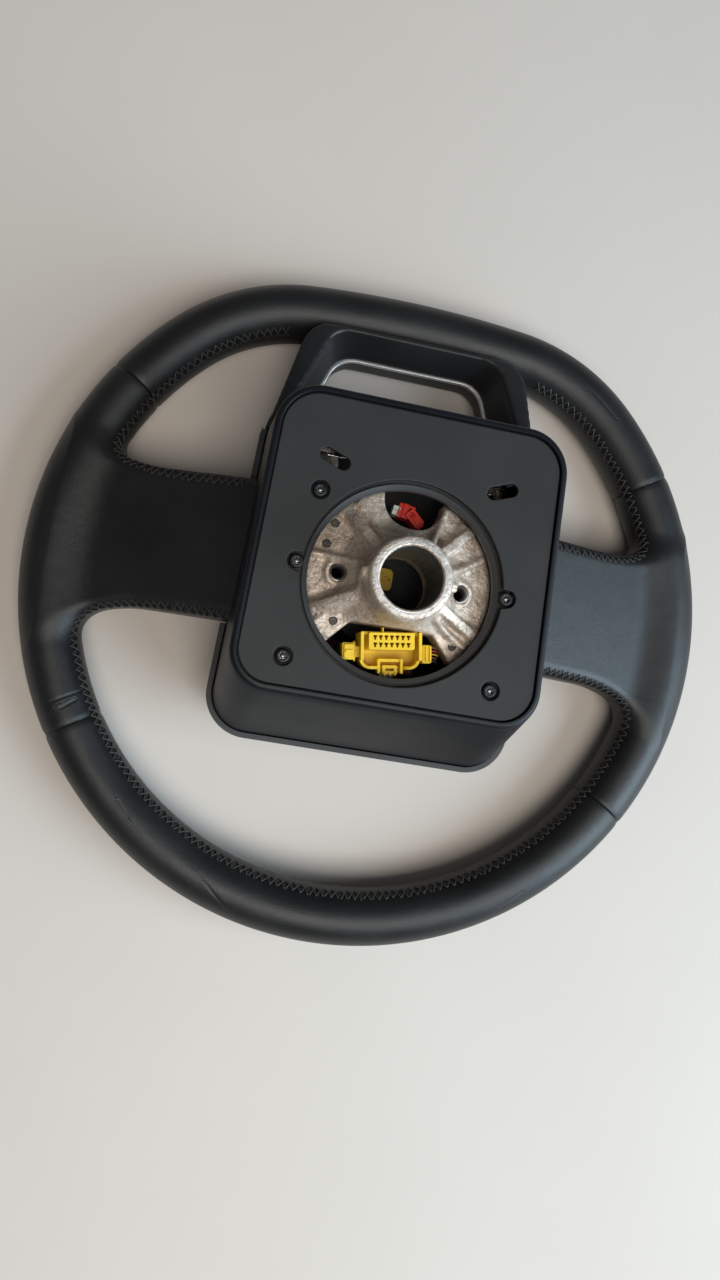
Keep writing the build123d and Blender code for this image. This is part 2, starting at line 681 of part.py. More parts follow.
def leg_arm(grow=0.0):
    """Left lower arm, from the airbag ear through the loop's leg to the rim core."""
    width = LEG_ARM_WIDTH + 2 * grow
    depth = LEG_ARM_DEPTH + 2 * grow
    knee = (LEG_ARM_X, LEG_ARM_Y, LEG_ARM_HEIGHT)
    ear = (PIN_LOW_X + EAR_RADIUS / 2, PIN_LOW_Y - EAR_RADIUS / 2, (EAR_FRONT + EAR_BACK) / 2)
    rim_y = FLAT_CENTRE_Y - sqrt(RIM_FLAT_RADIUS**2 - LEG_ARM_RIM_X**2)
    arm = bar(ear, knee, width, depth)
    arm += bar(knee, (LEG_ARM_RIM_X, rim_y, 0), width, depth)
    return arm + Pos(knee[0], knee[1], up(knee[2])) * Sphere(width / 2)


def ear(x, y, web_x, web_y):
    """Airbag ear: a pad on a bar from the web, still without its hole."""
    middle = (EAR_FRONT + EAR_BACK) / 2
    pad = Pos(x, y) * block(Circle(EAR_RADIUS), EAR_FRONT, EAR_BACK)
    away = hypot(web_x - x, web_y - y)
    share = EAR_BAR_REACH / away
    foot = (x + (web_x - x) * share, y + (web_y - y) * share, middle)
    web_middle = (WEB_FRONT + WEB_EDGE_BACK) / 2
    return pad + bar((web_x, web_y, web_middle), foot, EAR_BAR, EAR_BACK - EAR_FRONT)


def web_rib(angle):
    """Radial rib from the boss to the web's edge."""
    points = [
        (BORE_RADIUS + BOSS_CHAMFER, WEB_FRONT),
        (BORE_RADIUS + BOSS_CHAMFER, RIB_FOOT_BACK),
        (BOSS_FOOT_RADIUS, RIB_FOOT_BACK),
        (WEB_RADIUS - RIB_END_GAP, RIB_EDGE_BACK),
        (WEB_RADIUS - RIB_END_GAP, WEB_FRONT),
    ]
    profile = make_face(Polyline(*[(r, 0, up(h)) for r, h in points], close=True))
    return Rot(0, 0, angle) * extrude(profile, RIB_WIDTH / 2, dir=(0, 1, 0), both=True)


def hub_web():
    """Boss and web, turned about the steering axis, before the cut-outs."""
    foot = (BOSS_FOOT_RADIUS, 0, up(BOSS_FOOT))
    shoulder = (WEB_INNER_RADIUS, 0, up(WEB_INNER_BACK))
    points = [
        (WEB_INNER_RADIUS, WEB_INNER_BACK),
        (WEB_RADIUS, WEB_EDGE_BACK),
        (WEB_RADIUS, WEB_FRONT),
        (BORE_RADIUS, WEB_FRONT),
        (BORE_RADIUS, BOSS_HEIGHT),
        (BOSS_RADIUS - BOSS_CHAMFER, BOSS_HEIGHT),
        (BOSS_RADIUS, BOSS_HEIGHT - BOSS_CHAMFER),
        (BOSS_FOOT_RADIUS, BOSS_FOOT),
    ]
    straight = Polyline(*[(r, 0, up(h)) for r, h in points])
    sweep_in = ThreePointArc(foot, arc_middle(foot, shoulder, WEB_FILLET), shoulder)
    return revolve(make_face(straight + sweep_in), Axis.Z)


def arc_middle(start, end, radius):
    """Middle point of the arc of a radius between two points, hollow towards the boss's outside."""
    half_x = (end[0] - start[0]) / 2
    half_z = (end[2] - start[2]) / 2
    half = hypot(half_x, half_z)
    sag = radius - sqrt(radius**2 - half**2)
    return (start[0] + half_x + half_z / half * sag, 0, start[2] + half_z - half_x / half * sag)


def hub_casting():
    """Cast hub: boss, web with ribs, notch and cut-out, arms to the rim and ears for the airbag."""
    casting = hub_web()
    for angle in RIB_ANGLES:
        casting += web_rib(angle)
    for side in (-1, 1):
        casting += Pos(side * PULLER_X, PULLER_Y) * block(Circle(PULLER_PAD), WEB_FRONT, PULLER_BACK)
        lug = block(Rectangle(LUG_SIZE, LUG_SIZE), LUG_BACK - LUG_DEPTH, LUG_BACK)
        casting += Pos(side * BOSS_FOOT_RADIUS, 0) * lug
    notch = Pos(NOTCH_X, NOTCH_Y) * Circle(NOTCH_RADIUS)
    notch += Pos(NOTCH_X, NOTCH_Y - PAST) * Rectangle(2 * NOTCH_RADIUS, 2 * PAST)
    casting -= block(notch, WEB_FRONT - PAST, BOSS_HEIGHT)
    far = WEB_RADIUS + PAST
    spread = CUT_HALF + CUT_SPREAD * (far - CUT_Y)
    cut = make_face(Polyline((-CUT_HALF, CUT_Y), (CUT_HALF, CUT_Y), (spread, far), (-spread, far), close=True))
    casting -= block(cut, WEB_FRONT - PAST, BOSS_HEIGHT)
    for side in (-1, 1):
        casting -= Pos(side * PULLER_X, PULLER_Y) * block(Circle(PULLER_HOLE), WEB_FRONT, PULLER_BACK)
    low_ear = ear(PIN_LOW_X, PIN_LOW_Y, WEB_RADIUS * EAR_LOW_SHARE, -WEB_RADIUS * EAR_LOW_SHARE)
    high_ear = ear(PIN_HIGH_X, PIN_HIGH_Y, WEB_RADIUS * EAR_HIGH_SHARE_X, WEB_RADIUS * EAR_HIGH_SHARE_Y)
    core_hole = whole_rim(Circle(CORE_RADIUS + CORE_FIT))
    left = side_arm() + leg_arm() + low_ear + high_ear
    for x, y in [(PIN_LOW_X, PIN_LOW_Y), (PIN_HIGH_X, PIN_HIGH_Y)]:
        left -= Pos(x, y) * block(Circle(PIN_RADIUS + PIN_FIT), EAR_FRONT, EAR_BACK + PAST)
        left -= Pos(x, y) * block(Circle(SPRING_RADIUS + SPRING_WIRE + PIN_FIT), EAR_FRONT - PAST, EAR_FRONT)
    bore = block(Circle(BORE_RADIUS), WEB_FRONT, BOSS_HEIGHT)
    return casting + (left + mirrored(left) - core_hole) - bore


# 6 o'clock loop

def window_plan(inset, top_inset, spread_from):
    """Trapezoid window of the loop, rounded at the rim side."""
    top = WINDOW_TOP + top_inset
    half = WINDOW_HALF - inset
    root = half + (WINDOW_OPEN_Y - top) * spread_from
    corners = [(-half, top), (half, top), (root, WINDOW_OPEN_Y), (-root, WINDOW_OPEN_Y)]
    plan = make_face(Polyline(*corners, close=True))
    return fillet(plan.vertices().sort_by(Axis.Y)[:2], WINDOW_RADIUS)


def loop_window(grow):
    """The loop's tapered window, from its wide rear edge to its front edge at the trim."""
    wide = window_plan(-grow, -grow, WINDOW_SPREAD)
    narrow = window_plan(WINDOW_SIDE_TAPER - grow, WINDOW_TAPER - grow, WINDOW_SPREAD)
    rear = Pos(0, 0, up(LOOP_WINDOW_BACK)) * wide
    front = Pos(0, 0, up(TRIM_HEIGHT)) * narrow
    window = loft([rear, front], ruled=True)
    window += block(wide, LOOP_WINDOW_BACK, LOOP_ROOT_BACK + PAST)
    return window + block(narrow, LOOP_FRONT - PAST, TRIM_HEIGHT)


def loop_plan(grow):
    """Outer plan of the loop: a bar along the rim and two legs to the housing."""
    bar_radius = RIM_FLAT_RADIUS - LOOP_BAR_INSET + grow
    def on_bar(x):
        return FLAT_CENTRE_Y - sqrt(bar_radius**2 - x**2)
    rim_half = LOOP_RIM_HALF + grow
    points = [
        (rim_half, on_bar(rim_half)),
        (LOOP_ROOT_HALF + grow, LOOP_ROOT_Y),
        (-LOOP_ROOT_HALF - grow, LOOP_ROOT_Y),
        (-rim_half, on_bar(rim_half)),
    ]
    plan = make_face(Polyline(*points) + ThreePointArc(points[-1], (0, on_bar(0)), points[0]))
    return fillet(plan.vertices().sort_by(Axis.Y)[:2], LOOP_CORNER_RADIUS + grow)


def trim_plan(grow):
    """U-shaped line of the bright trim round the window's front edge."""
    inner = window_plan(WINDOW_SIDE_TAPER + TRIM_PROUD + grow, WINDOW_TAPER + TRIM_PROUD + grow, WINDOW_SPREAD)
    reach = TRIM_WIDTH - TRIM_PROUD
    outer = window_plan(WINDOW_SIDE_TAPER - reach - grow, WINDOW_TAPER - reach - grow, WINDOW_SPREAD)
    return outer - inner


def cover_clearance():
    """Space that the airbag cover sweeps, with its clearance."""
    return block(cover_plan(HORN_CLEARANCE), COVER_FRONT - PAST, HOUSING_FRONT) + housing_form(SPOKE_CLEARANCE)


def loop_trim():
    """Thin bright strip on the window's front edge."""
    strip = block(trim_plan(0), TRIM_HEIGHT - TRIM_THICK, TRIM_HEIGHT)
    return strip - cover_clearance()


def loop_frame():
    """Moulded loop: a bar along the rim and two legs, rising towards the housing."""
    bar_y = FLAT_CENTRE_Y - RIM_FLAT_RADIUS + LOOP_BAR_INSET
    points = [
        (bar_y - PAST, LOOP_FRONT),
        (bar_y - PAST, LOOP_BAR_BACK),
        (bar_y, LOOP_BAR_BACK),
        (WINDOW_TOP, LOOP_WINDOW_BACK),
        (LOOP_ROOT_Y, LOOP_ROOT_BACK),
        (LOOP_ROOT_Y, LOOP_FRONT),
    ]
    side = make_face(Polyline(*[(-4 * PAST, y, up(h)) for y, h in points], close=True))
    frame = extrude(side, 8 * PAST, dir=(1, 0, 0)) & block(loop_plan(0), LOOP_FRONT, LOOP_ROOT_BACK)
    frame -= loop_window(0)
    frame -= block(trim_plan(LEATHER_FIT), TRIM_HEIGHT - TRIM_THICK, TRIM_HEIGHT)
    arm = leg_arm(LEG_ARM_FIT)
    frame -= arm + mirrored(arm)
    frame -= cover_clearance()
    return frame


def loop_pocket():
    """Room for the loop's bar in the rim's foam and leather."""
    return block(loop_plan(LOOP_FIT), LOOP_FRONT - PAST, LOOP_ROOT_BACK + PAST)


# Airbag module

COVER_BACK = HOUSING_FRONT - HORN_TRAVEL - HORN_CLEARANCE


def cover_plan(grow):
    """Plan of the airbag cover at its rear edge."""
    return front_plan(COVER_OVERHANG + grow)


def cover_form(inset, front, back):
    """The cover's tapered form between two heights, smaller by an inset."""
    def taper(height):
        return COVER_TAPER * (COVER_BACK - height) / (COVER_BACK - COVER_FRONT)
    low = Pos(0, 0, up(front)) * cover_plan(-inset - taper(front))
    high = Pos(0, 0, up(back)) * cover_plan(-inset - taper(back))
    return loft([low, high], ruled=True)


def airbag_cover():
    """Front pad: a shallow tray with rounded edges, an inner ledge and cut-outs for the arms."""
    cover = cover_form(0, COVER_FRONT, COVER_BACK)
    cover = fillet(cover.faces().sort_by(Axis.Z)[0].edges(), COVER_ROUND)
    cover -= cover_form(COVER_WALL + COVER_LEDGE, COVER_FRONT + COVER_SKIN, TRAY_HEIGHT)
    cover -= cover_form(COVER_WALL, TRAY_HEIGHT, COVER_BACK)
    drop = HORN_TRAVEL + HORN_CLEARANCE
    outer_x = LIP_HIGH_HALF + HOUSING_FLARE_SIDE + COVER_OVERHANG
    spoke_low = spoke_height(outer_x, SPOKE_ROOT_FRONT, SPOKE_TIP_FRONT) - drop
    width = SPOKE_HIGH - SPOKE_LOW + 2 * HORN_CLEARANCE
    leg_low = LEG_ARM_HEIGHT - LEG_GAP_DEPTH - drop
    leg_y = LIP_LOW - HOUSING_FLARE_LOW
    for side in (-1, 1):
        gap = Pos(side * (SPOKE_ROOT_X + PAST), (SPOKE_HIGH + SPOKE_LOW) / 2) * Rectangle(2 * PAST, width)
        cover -= block(gap, spoke_low, COVER_BACK)
        leg_gap = Pos(side * LEG_ARM_X, leg_y) * Rectangle(LEG_GAP_WIDTH, PAST)
        cover -= block(leg_gap, leg_low, COVER_BACK)
    return cover


def tray_plan(inset):
    """Plan of the airbag's steel tray."""
    taper = COVER_TAPER * (COVER_BACK - TRAY_HEIGHT) / (COVER_BACK - COVER_FRONT)
    loss = taper + COVER_WALL + TRAY_GAP - COVER_OVERHANG
    low = LIP_LOW - HOUSING_FLARE_LOW + loss
    high = LIP_HIGH + HOUSING_FLARE_HIGH - loss
    return outline(TRAY_LOW_HALF, TRAY_HIGH_HALF, low, high, TRAY_RADIUS, TRAY_RADIUS, -inset)


STUD_PLACES = [(sx * STUD_SPACING, sy * STUD_SPACING) for sx in (-1, 1) for sy in (-1, 1)]
PIN_PLACES = [
    (PIN_LOW_X, PIN_LOW_Y),
    (-PIN_LOW_X, PIN_LOW_Y),
    (PIN_HIGH_X, PIN_HIGH_Y),
    (-PIN_HIGH_X, PIN_HIGH_Y),
]
TRAY_BACK = TRAY_HEIGHT + TRAY_THICK


def airbag_tray():
    """Pressed steel tray with a turned-up rim, the inflator's hole and four studs."""
    tray = block(tray_plan(0), TRAY_HEIGHT, TRAY_BACK + TRAY_RIM)
    tray -= block(tray_plan(TRAY_THICK), TRAY_BACK, TRAY_BACK + TRAY_RIM)
    tray -= block(Circle(INFLATOR_RADIUS + INFLATOR_FIT), TRAY_HEIGHT, TRAY_BACK)
    for x, y in STUD_PLACES:
        tray += Pos(x, y) * block(Circle(STUD_RADIUS), TRAY_BACK, TRAY_BACK + STUD_LENGTH)
    return tray


def airbag_cushion():
    """Folded airbag packed between the cover and the tray."""
    low = COVER_FRONT + COVER_SKIN + BAG_CLEARANCE
    plan = Pos(0, BAG_Y) * RectangleRounded(BAG_LENGTH, BAG_WIDTH, BAG_RADIUS)
    bag = block(plan, low, TRAY_HEIGHT - BAG_CLEARANCE)
    return bag - block(Circle(INFLATOR_RADIUS + INFLATOR_FIT), INFLATOR_FRONT - INFLATOR_FIT, TRAY_HEIGHT)


def airbag_inflator():
    """Round gas generator with a flange on the tray and a socket boss on its rear face."""
    body = block(Circle(INFLATOR_RADIUS), INFLATOR_FRONT, INFLATOR_BACK)
    body = fillet(body.faces().sort_by(Axis.Z)[-1].edges(), INFLATOR_FLANGE_THICK)
    flange = Circle(INFLATOR_FLANGE)
    for x, y in STUD_PLACES:
        flange -= Pos(x, y) * Circle(STUD_RADIUS + STUD_FIT)
    body += block(flange, TRAY_BACK, TRAY_BACK + INFLATOR_FLANGE_THICK)
    boss = block(Circle(PLUG_BOSS_RADIUS), INFLATOR_BACK, INFLATOR_BACK + PLUG_BOSS_HEIGHT)
    return body + Pos(PLUG_X, PLUG_Y) * boss


def inflator_nuts():
    """Four hexagon nuts on the tray's studs."""
    low = TRAY_BACK + INFLATOR_FLANGE_THICK
    nut = block(RegularPolygon(NUT_RADIUS, 6) - Circle(STUD_RADIUS + NUT_FIT), low, low + NUT_HEIGHT)
    return Compound(children=[Pos(x, y) * nut for x, y in STUD_PLACES])


def inflator_plug():
    """Plug pressed onto the inflator's socket boss."""
    low = INFLATOR_BACK + PLUG_BOSS_HEIGHT
    plug = block(RectangleRounded(PLUG_LENGTH, PLUG_WIDTH, PLUG_WIDTH / 4), low, low + PLUG_HEIGHT)
    latch = block(Rectangle(PLUG_LENGTH / 3, PLUG_WIDTH / 2), low + PLUG_HEIGHT, low + PLUG_HEIGHT + PLUG_LATCH)
    return Pos(PLUG_X, PLUG_Y) * (plug + latch)


def module_pins():
    """Four hook pins that stand on the tray and pass through the casting's ears."""
    groove_low = EAR_BACK - HORN_TRAVEL - LOCK_FIT
    groove_high = EAR_BACK + 2 * LOCK_WIRE + LOCK_FIT
    points = [
        (0, TRAY_BACK),
        (PIN_FOOT, TRAY_BACK),
        (PIN_FOOT, TRAY_BACK + PIN_FOOT_THICK),
        (PIN_RADIUS, TRAY_BACK + PIN_FOOT_THICK),
        (PIN_RADIUS, groove_low),
        (GROOVE_RADIUS, groove_low),
        (GROOVE_RADIUS, groove_high),
        (PIN_RADIUS, groove_high),
        (GROOVE_RADIUS, groove_high + PIN_HEAD),
        (0, groove_high + PIN_HEAD),
    ]
    profile = make_face(Polyline(*[(r, 0, up(h)) for r, h in points], close=True))
    pin = revolve(profile, Axis.Z)
    return Compound(children=[Pos(x, y) * pin for x, y in PIN_PLACES])


def horn_springs():
    """Coil springs on the pins, between the tray and the ears."""
    low = TRAY_BACK + PIN_FOOT_THICK + SPRING_WIRE + SPRING_GAP
    high = EAR_FRONT - SPRING_WIRE - SPRING_GAP
    path = Helix((high - low) / SPRING_TURNS, high - low, SPRING_RADIUS)
    coil = sweep(Plane(origin=path @ 0, z_dir=path % 0) * Circle(SPRING_WIRE), path)
    return Compound(children=[Pos(x, y, up(low)) * coil for x, y in PIN_PLACES])


def lock_spring():
    """Straight spring wire that catches in the grooves of the two lower pins."""
    y = PIN_LOW_Y - GROOVE_RADIUS - LOCK_WIRE - LOCK_FIT
    start = Plane(origin=(-LOCK_HALF, y, up(EAR_BACK + LOCK_WIRE)), z_dir=(1, 0, 0))
    return extrude(start * Circle(LOCK_WIRE), 2 * LOCK_HALF)


# Wiring pieces

CONNECTOR_PLACE = Pos(CONNECTOR_X, CONNECTOR_Y) * Rot(0, 0, CONNECTOR_TURN)
CONNECTOR_LOW = WEB_FRONT - CONNECTOR_FOOT_THICK


def connector_body():
    """Fourteen-way socket: pin block, open well in front of it, side wings and a foot under the web."""
    plan = RectangleRounded(CONNECTOR_LENGTH, CONNECTOR_WIDTH, 2 * CONNECTOR_WALL)
    shell = block(plan, CONNECTOR_LOW, CONNECTOR_BACK)
    face_y = (PIN_FACE_WIDTH - CONNECTOR_WIDTH) / 2
    well_width = CONNECTOR_WIDTH - PIN_FACE_WIDTH - CONNECTOR_WALL
    well_y = CONNECTOR_WIDTH / 2 - CONNECTOR_WALL - well_width / 2
    well = Pos(0, well_y) * Rectangle(CONNECTOR_LENGTH - 4 * CONNECTOR_WALL, well_width)
    shell -= block(well, CONNECTOR_BACK - CONNECTOR_WELL, CONNECTOR_BACK)
    face = Pos(0, face_y) * RectangleRounded(PIN_FACE_LENGTH, PIN_FACE_WIDTH, CONNECTOR_WALL / 2)
    shell += block(face, CONNECTOR_LOW, PIN_FACE_BACK)
    slit_y = (PIN_HOLE + PIN_SLIT_LENGTH) / 2
    tee = Rectangle(PIN_HOLE, PIN_HOLE) + Pos(0, slit_y) * Rectangle(PIN_SLIT_WIDTH, PIN_SLIT_LENGTH)
    hole = Pos(0, face_y) * block(tee, PIN_FACE_BACK - PIN_HOLE_DEPTH, PIN_FACE_BACK)
    shell -= GridLocations(PIN_PITCH, PIN_ROW_PITCH, PIN_COLUMNS, 2) * hole
    guard = Rectangle(GUARD_THICK, CONNECTOR_WIDTH - 4 * CONNECTOR_WALL)
    guard_x = (CONNECTOR_LENGTH - GUARD_THICK) / 2
    for side in (-1, 1):
        shell += Pos(side * guard_x, 0) * block(guard, CONNECTOR_BACK, GUARD_BACK)
    wing_x = (CONNECTOR_LENGTH + WING_LENGTH) / 2
    wing = Rectangle(WING_LENGTH, WING_WIDTH)
    shell += Pos(wing_x, 0) * block(wing, WING_BACK - WING_HEIGHT, WING_BACK)
    step = Rectangle(WING_LENGTH - WING_STEP, WING_WIDTH - 2 * WING_STEP)
    shell += Pos(wing_x, 0) * block(step, WING_BACK, WING_BACK + WING_STEP)
    small = Rectangle(SMALL_WING_LENGTH, SMALL_WING_WIDTH)
    small_x = -(CONNECTOR_LENGTH + SMALL_WING_LENGTH) / 2
    shell += Pos(small_x, 0) * block(small, WING_BACK - WING_HEIGHT, WING_BACK)
    foot_y = (CONNECTOR_FOOT_WIDTH - CONNECTOR_WIDTH) / 2
    foot = Pos(0, foot_y) * Rectangle(CONNECTOR_FOOT_LENGTH, CONNECTOR_FOOT_WIDTH)
    shell += block(foot, CONNECTOR_LOW, WEB_FRONT)
    return CONNECTOR_PLACE * shell


def connector_lock():
    """Sliding lock on the front wall of the connector."""
    slide = RectangleRounded(LOCK_SLIDE_LENGTH, LOCK_SLIDE_WIDTH, CONNECTOR_WALL / 2)
    y = (CONNECTOR_WIDTH + LOCK_SLIDE_WIDTH) / 2
    lock = Pos(0, y) * block(slide, CONNECTOR_BACK - LOCK_SLIDE_HEIGHT, CONNECTOR_BACK)
    cut = Rectangle(LOCK_SLIDE_LENGTH / 2, LOCK_SLIDE_WIDTH / 2)
    cut_low = CONNECTOR_BACK - LOCK_SLIDE_HEIGHT / 2
    lock -= Pos(0, y + LOCK_SLIDE_WIDTH / 4) * block(cut, cut_low, CONNECTOR_BACK)
    return CONNECTOR_PLACE * lock


def red_plug():
    """Small two-part plug clipped under the notch's edge by a tab."""
    low = WEB_FRONT - RED_PLUG_HEIGHT
    plan = RectangleRounded(RED_PLUG_LENGTH, RED_PLUG_WIDTH, RED_PLUG_RADIUS)
    middle = Pos(RED_PLUG_X - RED_PLUG_WIDTH / 2, RED_PLUG_Y + RED_PLUG_WIDTH / 2)
    body = block(middle * Rot(0, 0, RED_PLUG_TURN) * plan, low, WEB_FRONT - CONNECTOR_FOOT_THICK)
    head = Pos(RED_PLUG_X, RED_PLUG_Y) * block(Rectangle(RED_HEAD_LENGTH, RED_HEAD_WIDTH), low, WEB_FRONT)
    tab_start = RED_PLUG_Y
    tab_end = NOTCH_Y + NOTCH_RADIUS + RED_TAB_REACH
    tab = Pos(RED_PLUG_X, (tab_start + tab_end) / 2) * Rectangle(RED_TAB_LENGTH, tab_end - tab_start)
    return body + head + block(tab, WEB_FRONT - CONNECTOR_FOOT_THICK, WEB_FRONT)


def pale_clip():
    """Small pale clip against the red plug's side."""
    x = RED_PLUG_X + (RED_HEAD_LENGTH + CLIP_LENGTH) / 2
    high = WEB_FRONT - CONNECTOR_FOOT_THICK
    return Pos(x, RED_PLUG_Y) * block(Rectangle(CLIP_LENGTH, CLIP_WIDTH), high - CLIP_HEIGHT, high)


def harness_end():
    """Where the harness meets the inner end of the pod, in the model's frame."""
    local = Vector(-POD_LENGTH / 2, 0, -POD_DEPTH / 2)
    point = POD_PLANE.from_local_coords(local)
    return Vector(point.X, HARNESS_Y, point.Z)


def harness_path(past=0.0):
    """Route of the left wiring bundle: down from the connector, over the tray's rim, into the spoke."""
    end = harness_end()
    along = Vector(1, 0, POD_SLOPE).normalized()
    root = end - along * (end.X - SPOKE_ROOT_X + HARNESS_RADIUS)
    start = Vector(CONNECTOR_LENGTH / 3, CONNECTOR_Y, up(CONNECTOR_LOW))
    drop = Vector(start.X, start.Y, up(HARNESS_RUN_HEIGHT) + HARNESS_BEND)
    run = Vector(HARNESS_RUN_X, HARNESS_Y, up(HARNESS_RUN_HEIGHT))
    return FilletPolyline(start, drop, run, root, end + along * past, radius=HARNESS_BEND)


def harness(radius, past=0.0):
    """Wiring bundle swept along its route."""
    path = harness_path(past)
    return sweep(Plane(origin=path @ 0, z_dir=path % 0) * Circle(radius), path)


# Soft pieces of the rim, cut for what they hold

def side_leather():
    """Left leather section: the grip between two seams and the spoke's sleeve."""
    half_gap = degrees(SEAM_GAP / 2 / RIM_RADIUS)
    start = SEAM_LOW_ANGLE + half_gap
    end = SEAM_HIGH_ANGLE - half_gap
    outer = rim_run(grip_section(0), round_path(start, end)) + spoke(0)
    longer = round_path(start - SEAM_PAST_ANGLE, end + SEAM_PAST_ANGLE)
    inner = rim_run(grip_section(LEATHER), longer) + spoke(LEATHER, LEATHER)
    return outer - inner - pod_pocket()


def high_leather():
    """12 o'clock leather section."""
    half_gap = degrees(SEAM_GAP / 2 / RIM_RADIUS)
    path = round_path(SEAM_HIGH_ANGLE + half_gap, 180 - SEAM_HIGH_ANGLE - half_gap)
    return rim_run(grip_section(0), path) - rim_run(grip_section(LEATHER), path)


def low_leather():
    """6 o'clock leather section, cut away for the loop's bar."""
    half_gap = degrees(SEAM_GAP / 2 / RIM_RADIUS)
    path = low_path(SEAM_LOW_ANGLE - half_gap)
    return rim_run(grip_section(0), path) - rim_run(grip_section(LEATHER), path) - loop_pocket()


def rim_foam(casting):
    """Moulded foam of the grip and both spokes, round the core and the casting's arms."""
    inset = LEATHER + LEATHER_FIT
    left = spoke(inset) - pod_pocket() - harness(HARNESS_RADIUS + HARNESS_CHANNEL_FIT, HARNESS_BEND)
    foam = whole_rim(grip_section(inset)) + left + mirrored(left)
    foam -= whole_rim(Circle(CORE_RADIUS + CORE_FIT))
    foam -= loop_pocket()
    return foam - casting


def main():
    """Builds every piece and writes one file for each."""
    casting = hub_casting()
    left_leather = side_leather()
    wires = harness(HARNESS_RADIUS)
    pieces = {
        "rim_core": whole_rim(Circle(CORE_RADIUS)),
        "rim_foam": rim_foam(casting),
        "leather_left": left_leather,
        "leather_right": mirrored(left_leather),
        "leather_top": high_leather(),
        "leather_bottom": low_leather(),
        "hub_casting": casting,
        "rear_housing": rear_housing(),
        "rear_plate": rear_plate(),
        "hub_collar": hub_collar(),
        "plate_screws": Compound(children=[screw(place, SCREW_LENGTH) for place in SCREW_PLACES]),
        "collar_screws": Compound(children=[screw(place, COLLAR_FLANGE) for place in COLLAR_SCREW_PLACES]),
        "corner_screw": screw(CORNER_SCREW_PLACE, SCREW_LENGTH),
        "loop_frame": loop_frame(),
        "loop_trim": loop_trim(),
        "airbag_cover": airbag_cover(),
        "airbag_tray": airbag_tray(),
        "airbag_cushion": airbag_cushion(),
        "airbag_inflator": airbag_inflator(),
        "inflator_nuts": inflator_nuts(),
        "inflator_plug": inflator_plug(),
        "module_pins": module_pins(),
        "horn_springs": horn_springs(),
        "lock_spring": lock_spring(),
        "connector_body": connector_body(),
        "connector_lock": connector_lock(),
        "red_plug": red_plug(),
        "pale_clip": pale_clip(),
        "left_harness": wires,
        "right_harness": mirrored(wires),
    }
    pod = {"switch_pod": pod_base(), "switch_board": pod_board(), "roller": pod_roller()}
    for name, place in BUTTON_PLACES.items():
        pod[name] = pod_button(*place)
    for name, piece in pod.items():
        pieces[f"left_{name}"] = piece
        pieces[f"right_{name}"] = mirrored(piece)
    os.makedirs("parts", exist_ok=True)
    for name, piece in pieces.items():
        export_step(piece, f"parts/{name}.step")


main()
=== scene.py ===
"""Looks of a leather-wrapped car steering wheel that lies face down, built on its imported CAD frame."""

import logging
import math
from collections.abc import Iterator
from contextlib import contextmanager
from dataclasses import dataclass, field
from enum import Enum

import bmesh
import bpy
import numpy as np
from mathutils import Matrix, Vector


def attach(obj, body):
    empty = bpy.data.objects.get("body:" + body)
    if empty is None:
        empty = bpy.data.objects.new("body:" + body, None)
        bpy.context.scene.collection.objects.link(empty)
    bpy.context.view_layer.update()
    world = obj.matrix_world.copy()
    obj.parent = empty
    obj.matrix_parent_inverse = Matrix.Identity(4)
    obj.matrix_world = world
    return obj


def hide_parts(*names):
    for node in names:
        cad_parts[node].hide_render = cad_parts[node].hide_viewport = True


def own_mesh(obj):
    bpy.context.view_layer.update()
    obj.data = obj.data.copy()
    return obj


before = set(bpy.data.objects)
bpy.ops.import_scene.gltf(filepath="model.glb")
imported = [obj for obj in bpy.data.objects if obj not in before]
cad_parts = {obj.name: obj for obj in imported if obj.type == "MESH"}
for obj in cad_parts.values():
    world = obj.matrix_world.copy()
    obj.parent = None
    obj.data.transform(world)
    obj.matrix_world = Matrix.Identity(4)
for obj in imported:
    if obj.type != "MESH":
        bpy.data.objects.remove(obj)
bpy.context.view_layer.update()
LOG = logging.getLogger("steering_wheel")
MM = 0.001
BOSS_HEIGHT = 117.0
WELD_DISTANCE = 1e-5
CURVE_WELD_DISTANCE = 1e-6

Points = list[tuple[float, float]]
Piece = bpy.types.Object
Socket = bpy.types.NodeSocket
Material = bpy.types.Material


class Body(Enum):
    """CAD bodies that pieces ride on."""

    WHEEL = "wheel"
    AIRBAG = "airbag_module"


# Mesh helpers

def up(height: float) -> float:
    """Model Z in millimetres of a height above the rim's middle plane."""
    return height - BOSS_HEIGHT


def raised(plan: np.ndarray, height: float) -> np.ndarray:
    """Points in plan, set at a height above the rim's middle plane."""
    return np.concatenate([plan, np.full((len(plan), 1), up(height))], 1)


def full_turn(steps: int) -> np.ndarray:
    """Even angles once round, in radians."""
    return np.linspace(0, 2 * np.pi, steps, endpoint=False)


def linked(name: str, data: bpy.types.ID) -> Piece:
    """New object in the scene, with the data given."""
    made = bpy.data.objects.new(name, data)
    bpy.context.scene.collection.objects.link(made)
    return made


def shade_smooth(mesh: bpy.types.Mesh) -> None:
    """Shades all of a mesh's faces smoothly."""
    mesh.polygons.foreach_set("use_smooth", [True] * len(mesh.polygons))


@contextmanager
def edited(mesh: bpy.types.Mesh) -> Iterator[bmesh.types.BMesh]:
    """Opens a mesh for editing, and writes it back."""
    work = bmesh.new()
    work.from_mesh(mesh)
    yield work
    work.to_mesh(mesh)
    work.free()


def weld(piece: Piece) -> None:
    """Merges a piece's doubled points."""
    piece.modifiers.new("weld", "WELD").merge_threshold = WELD_DISTANCE


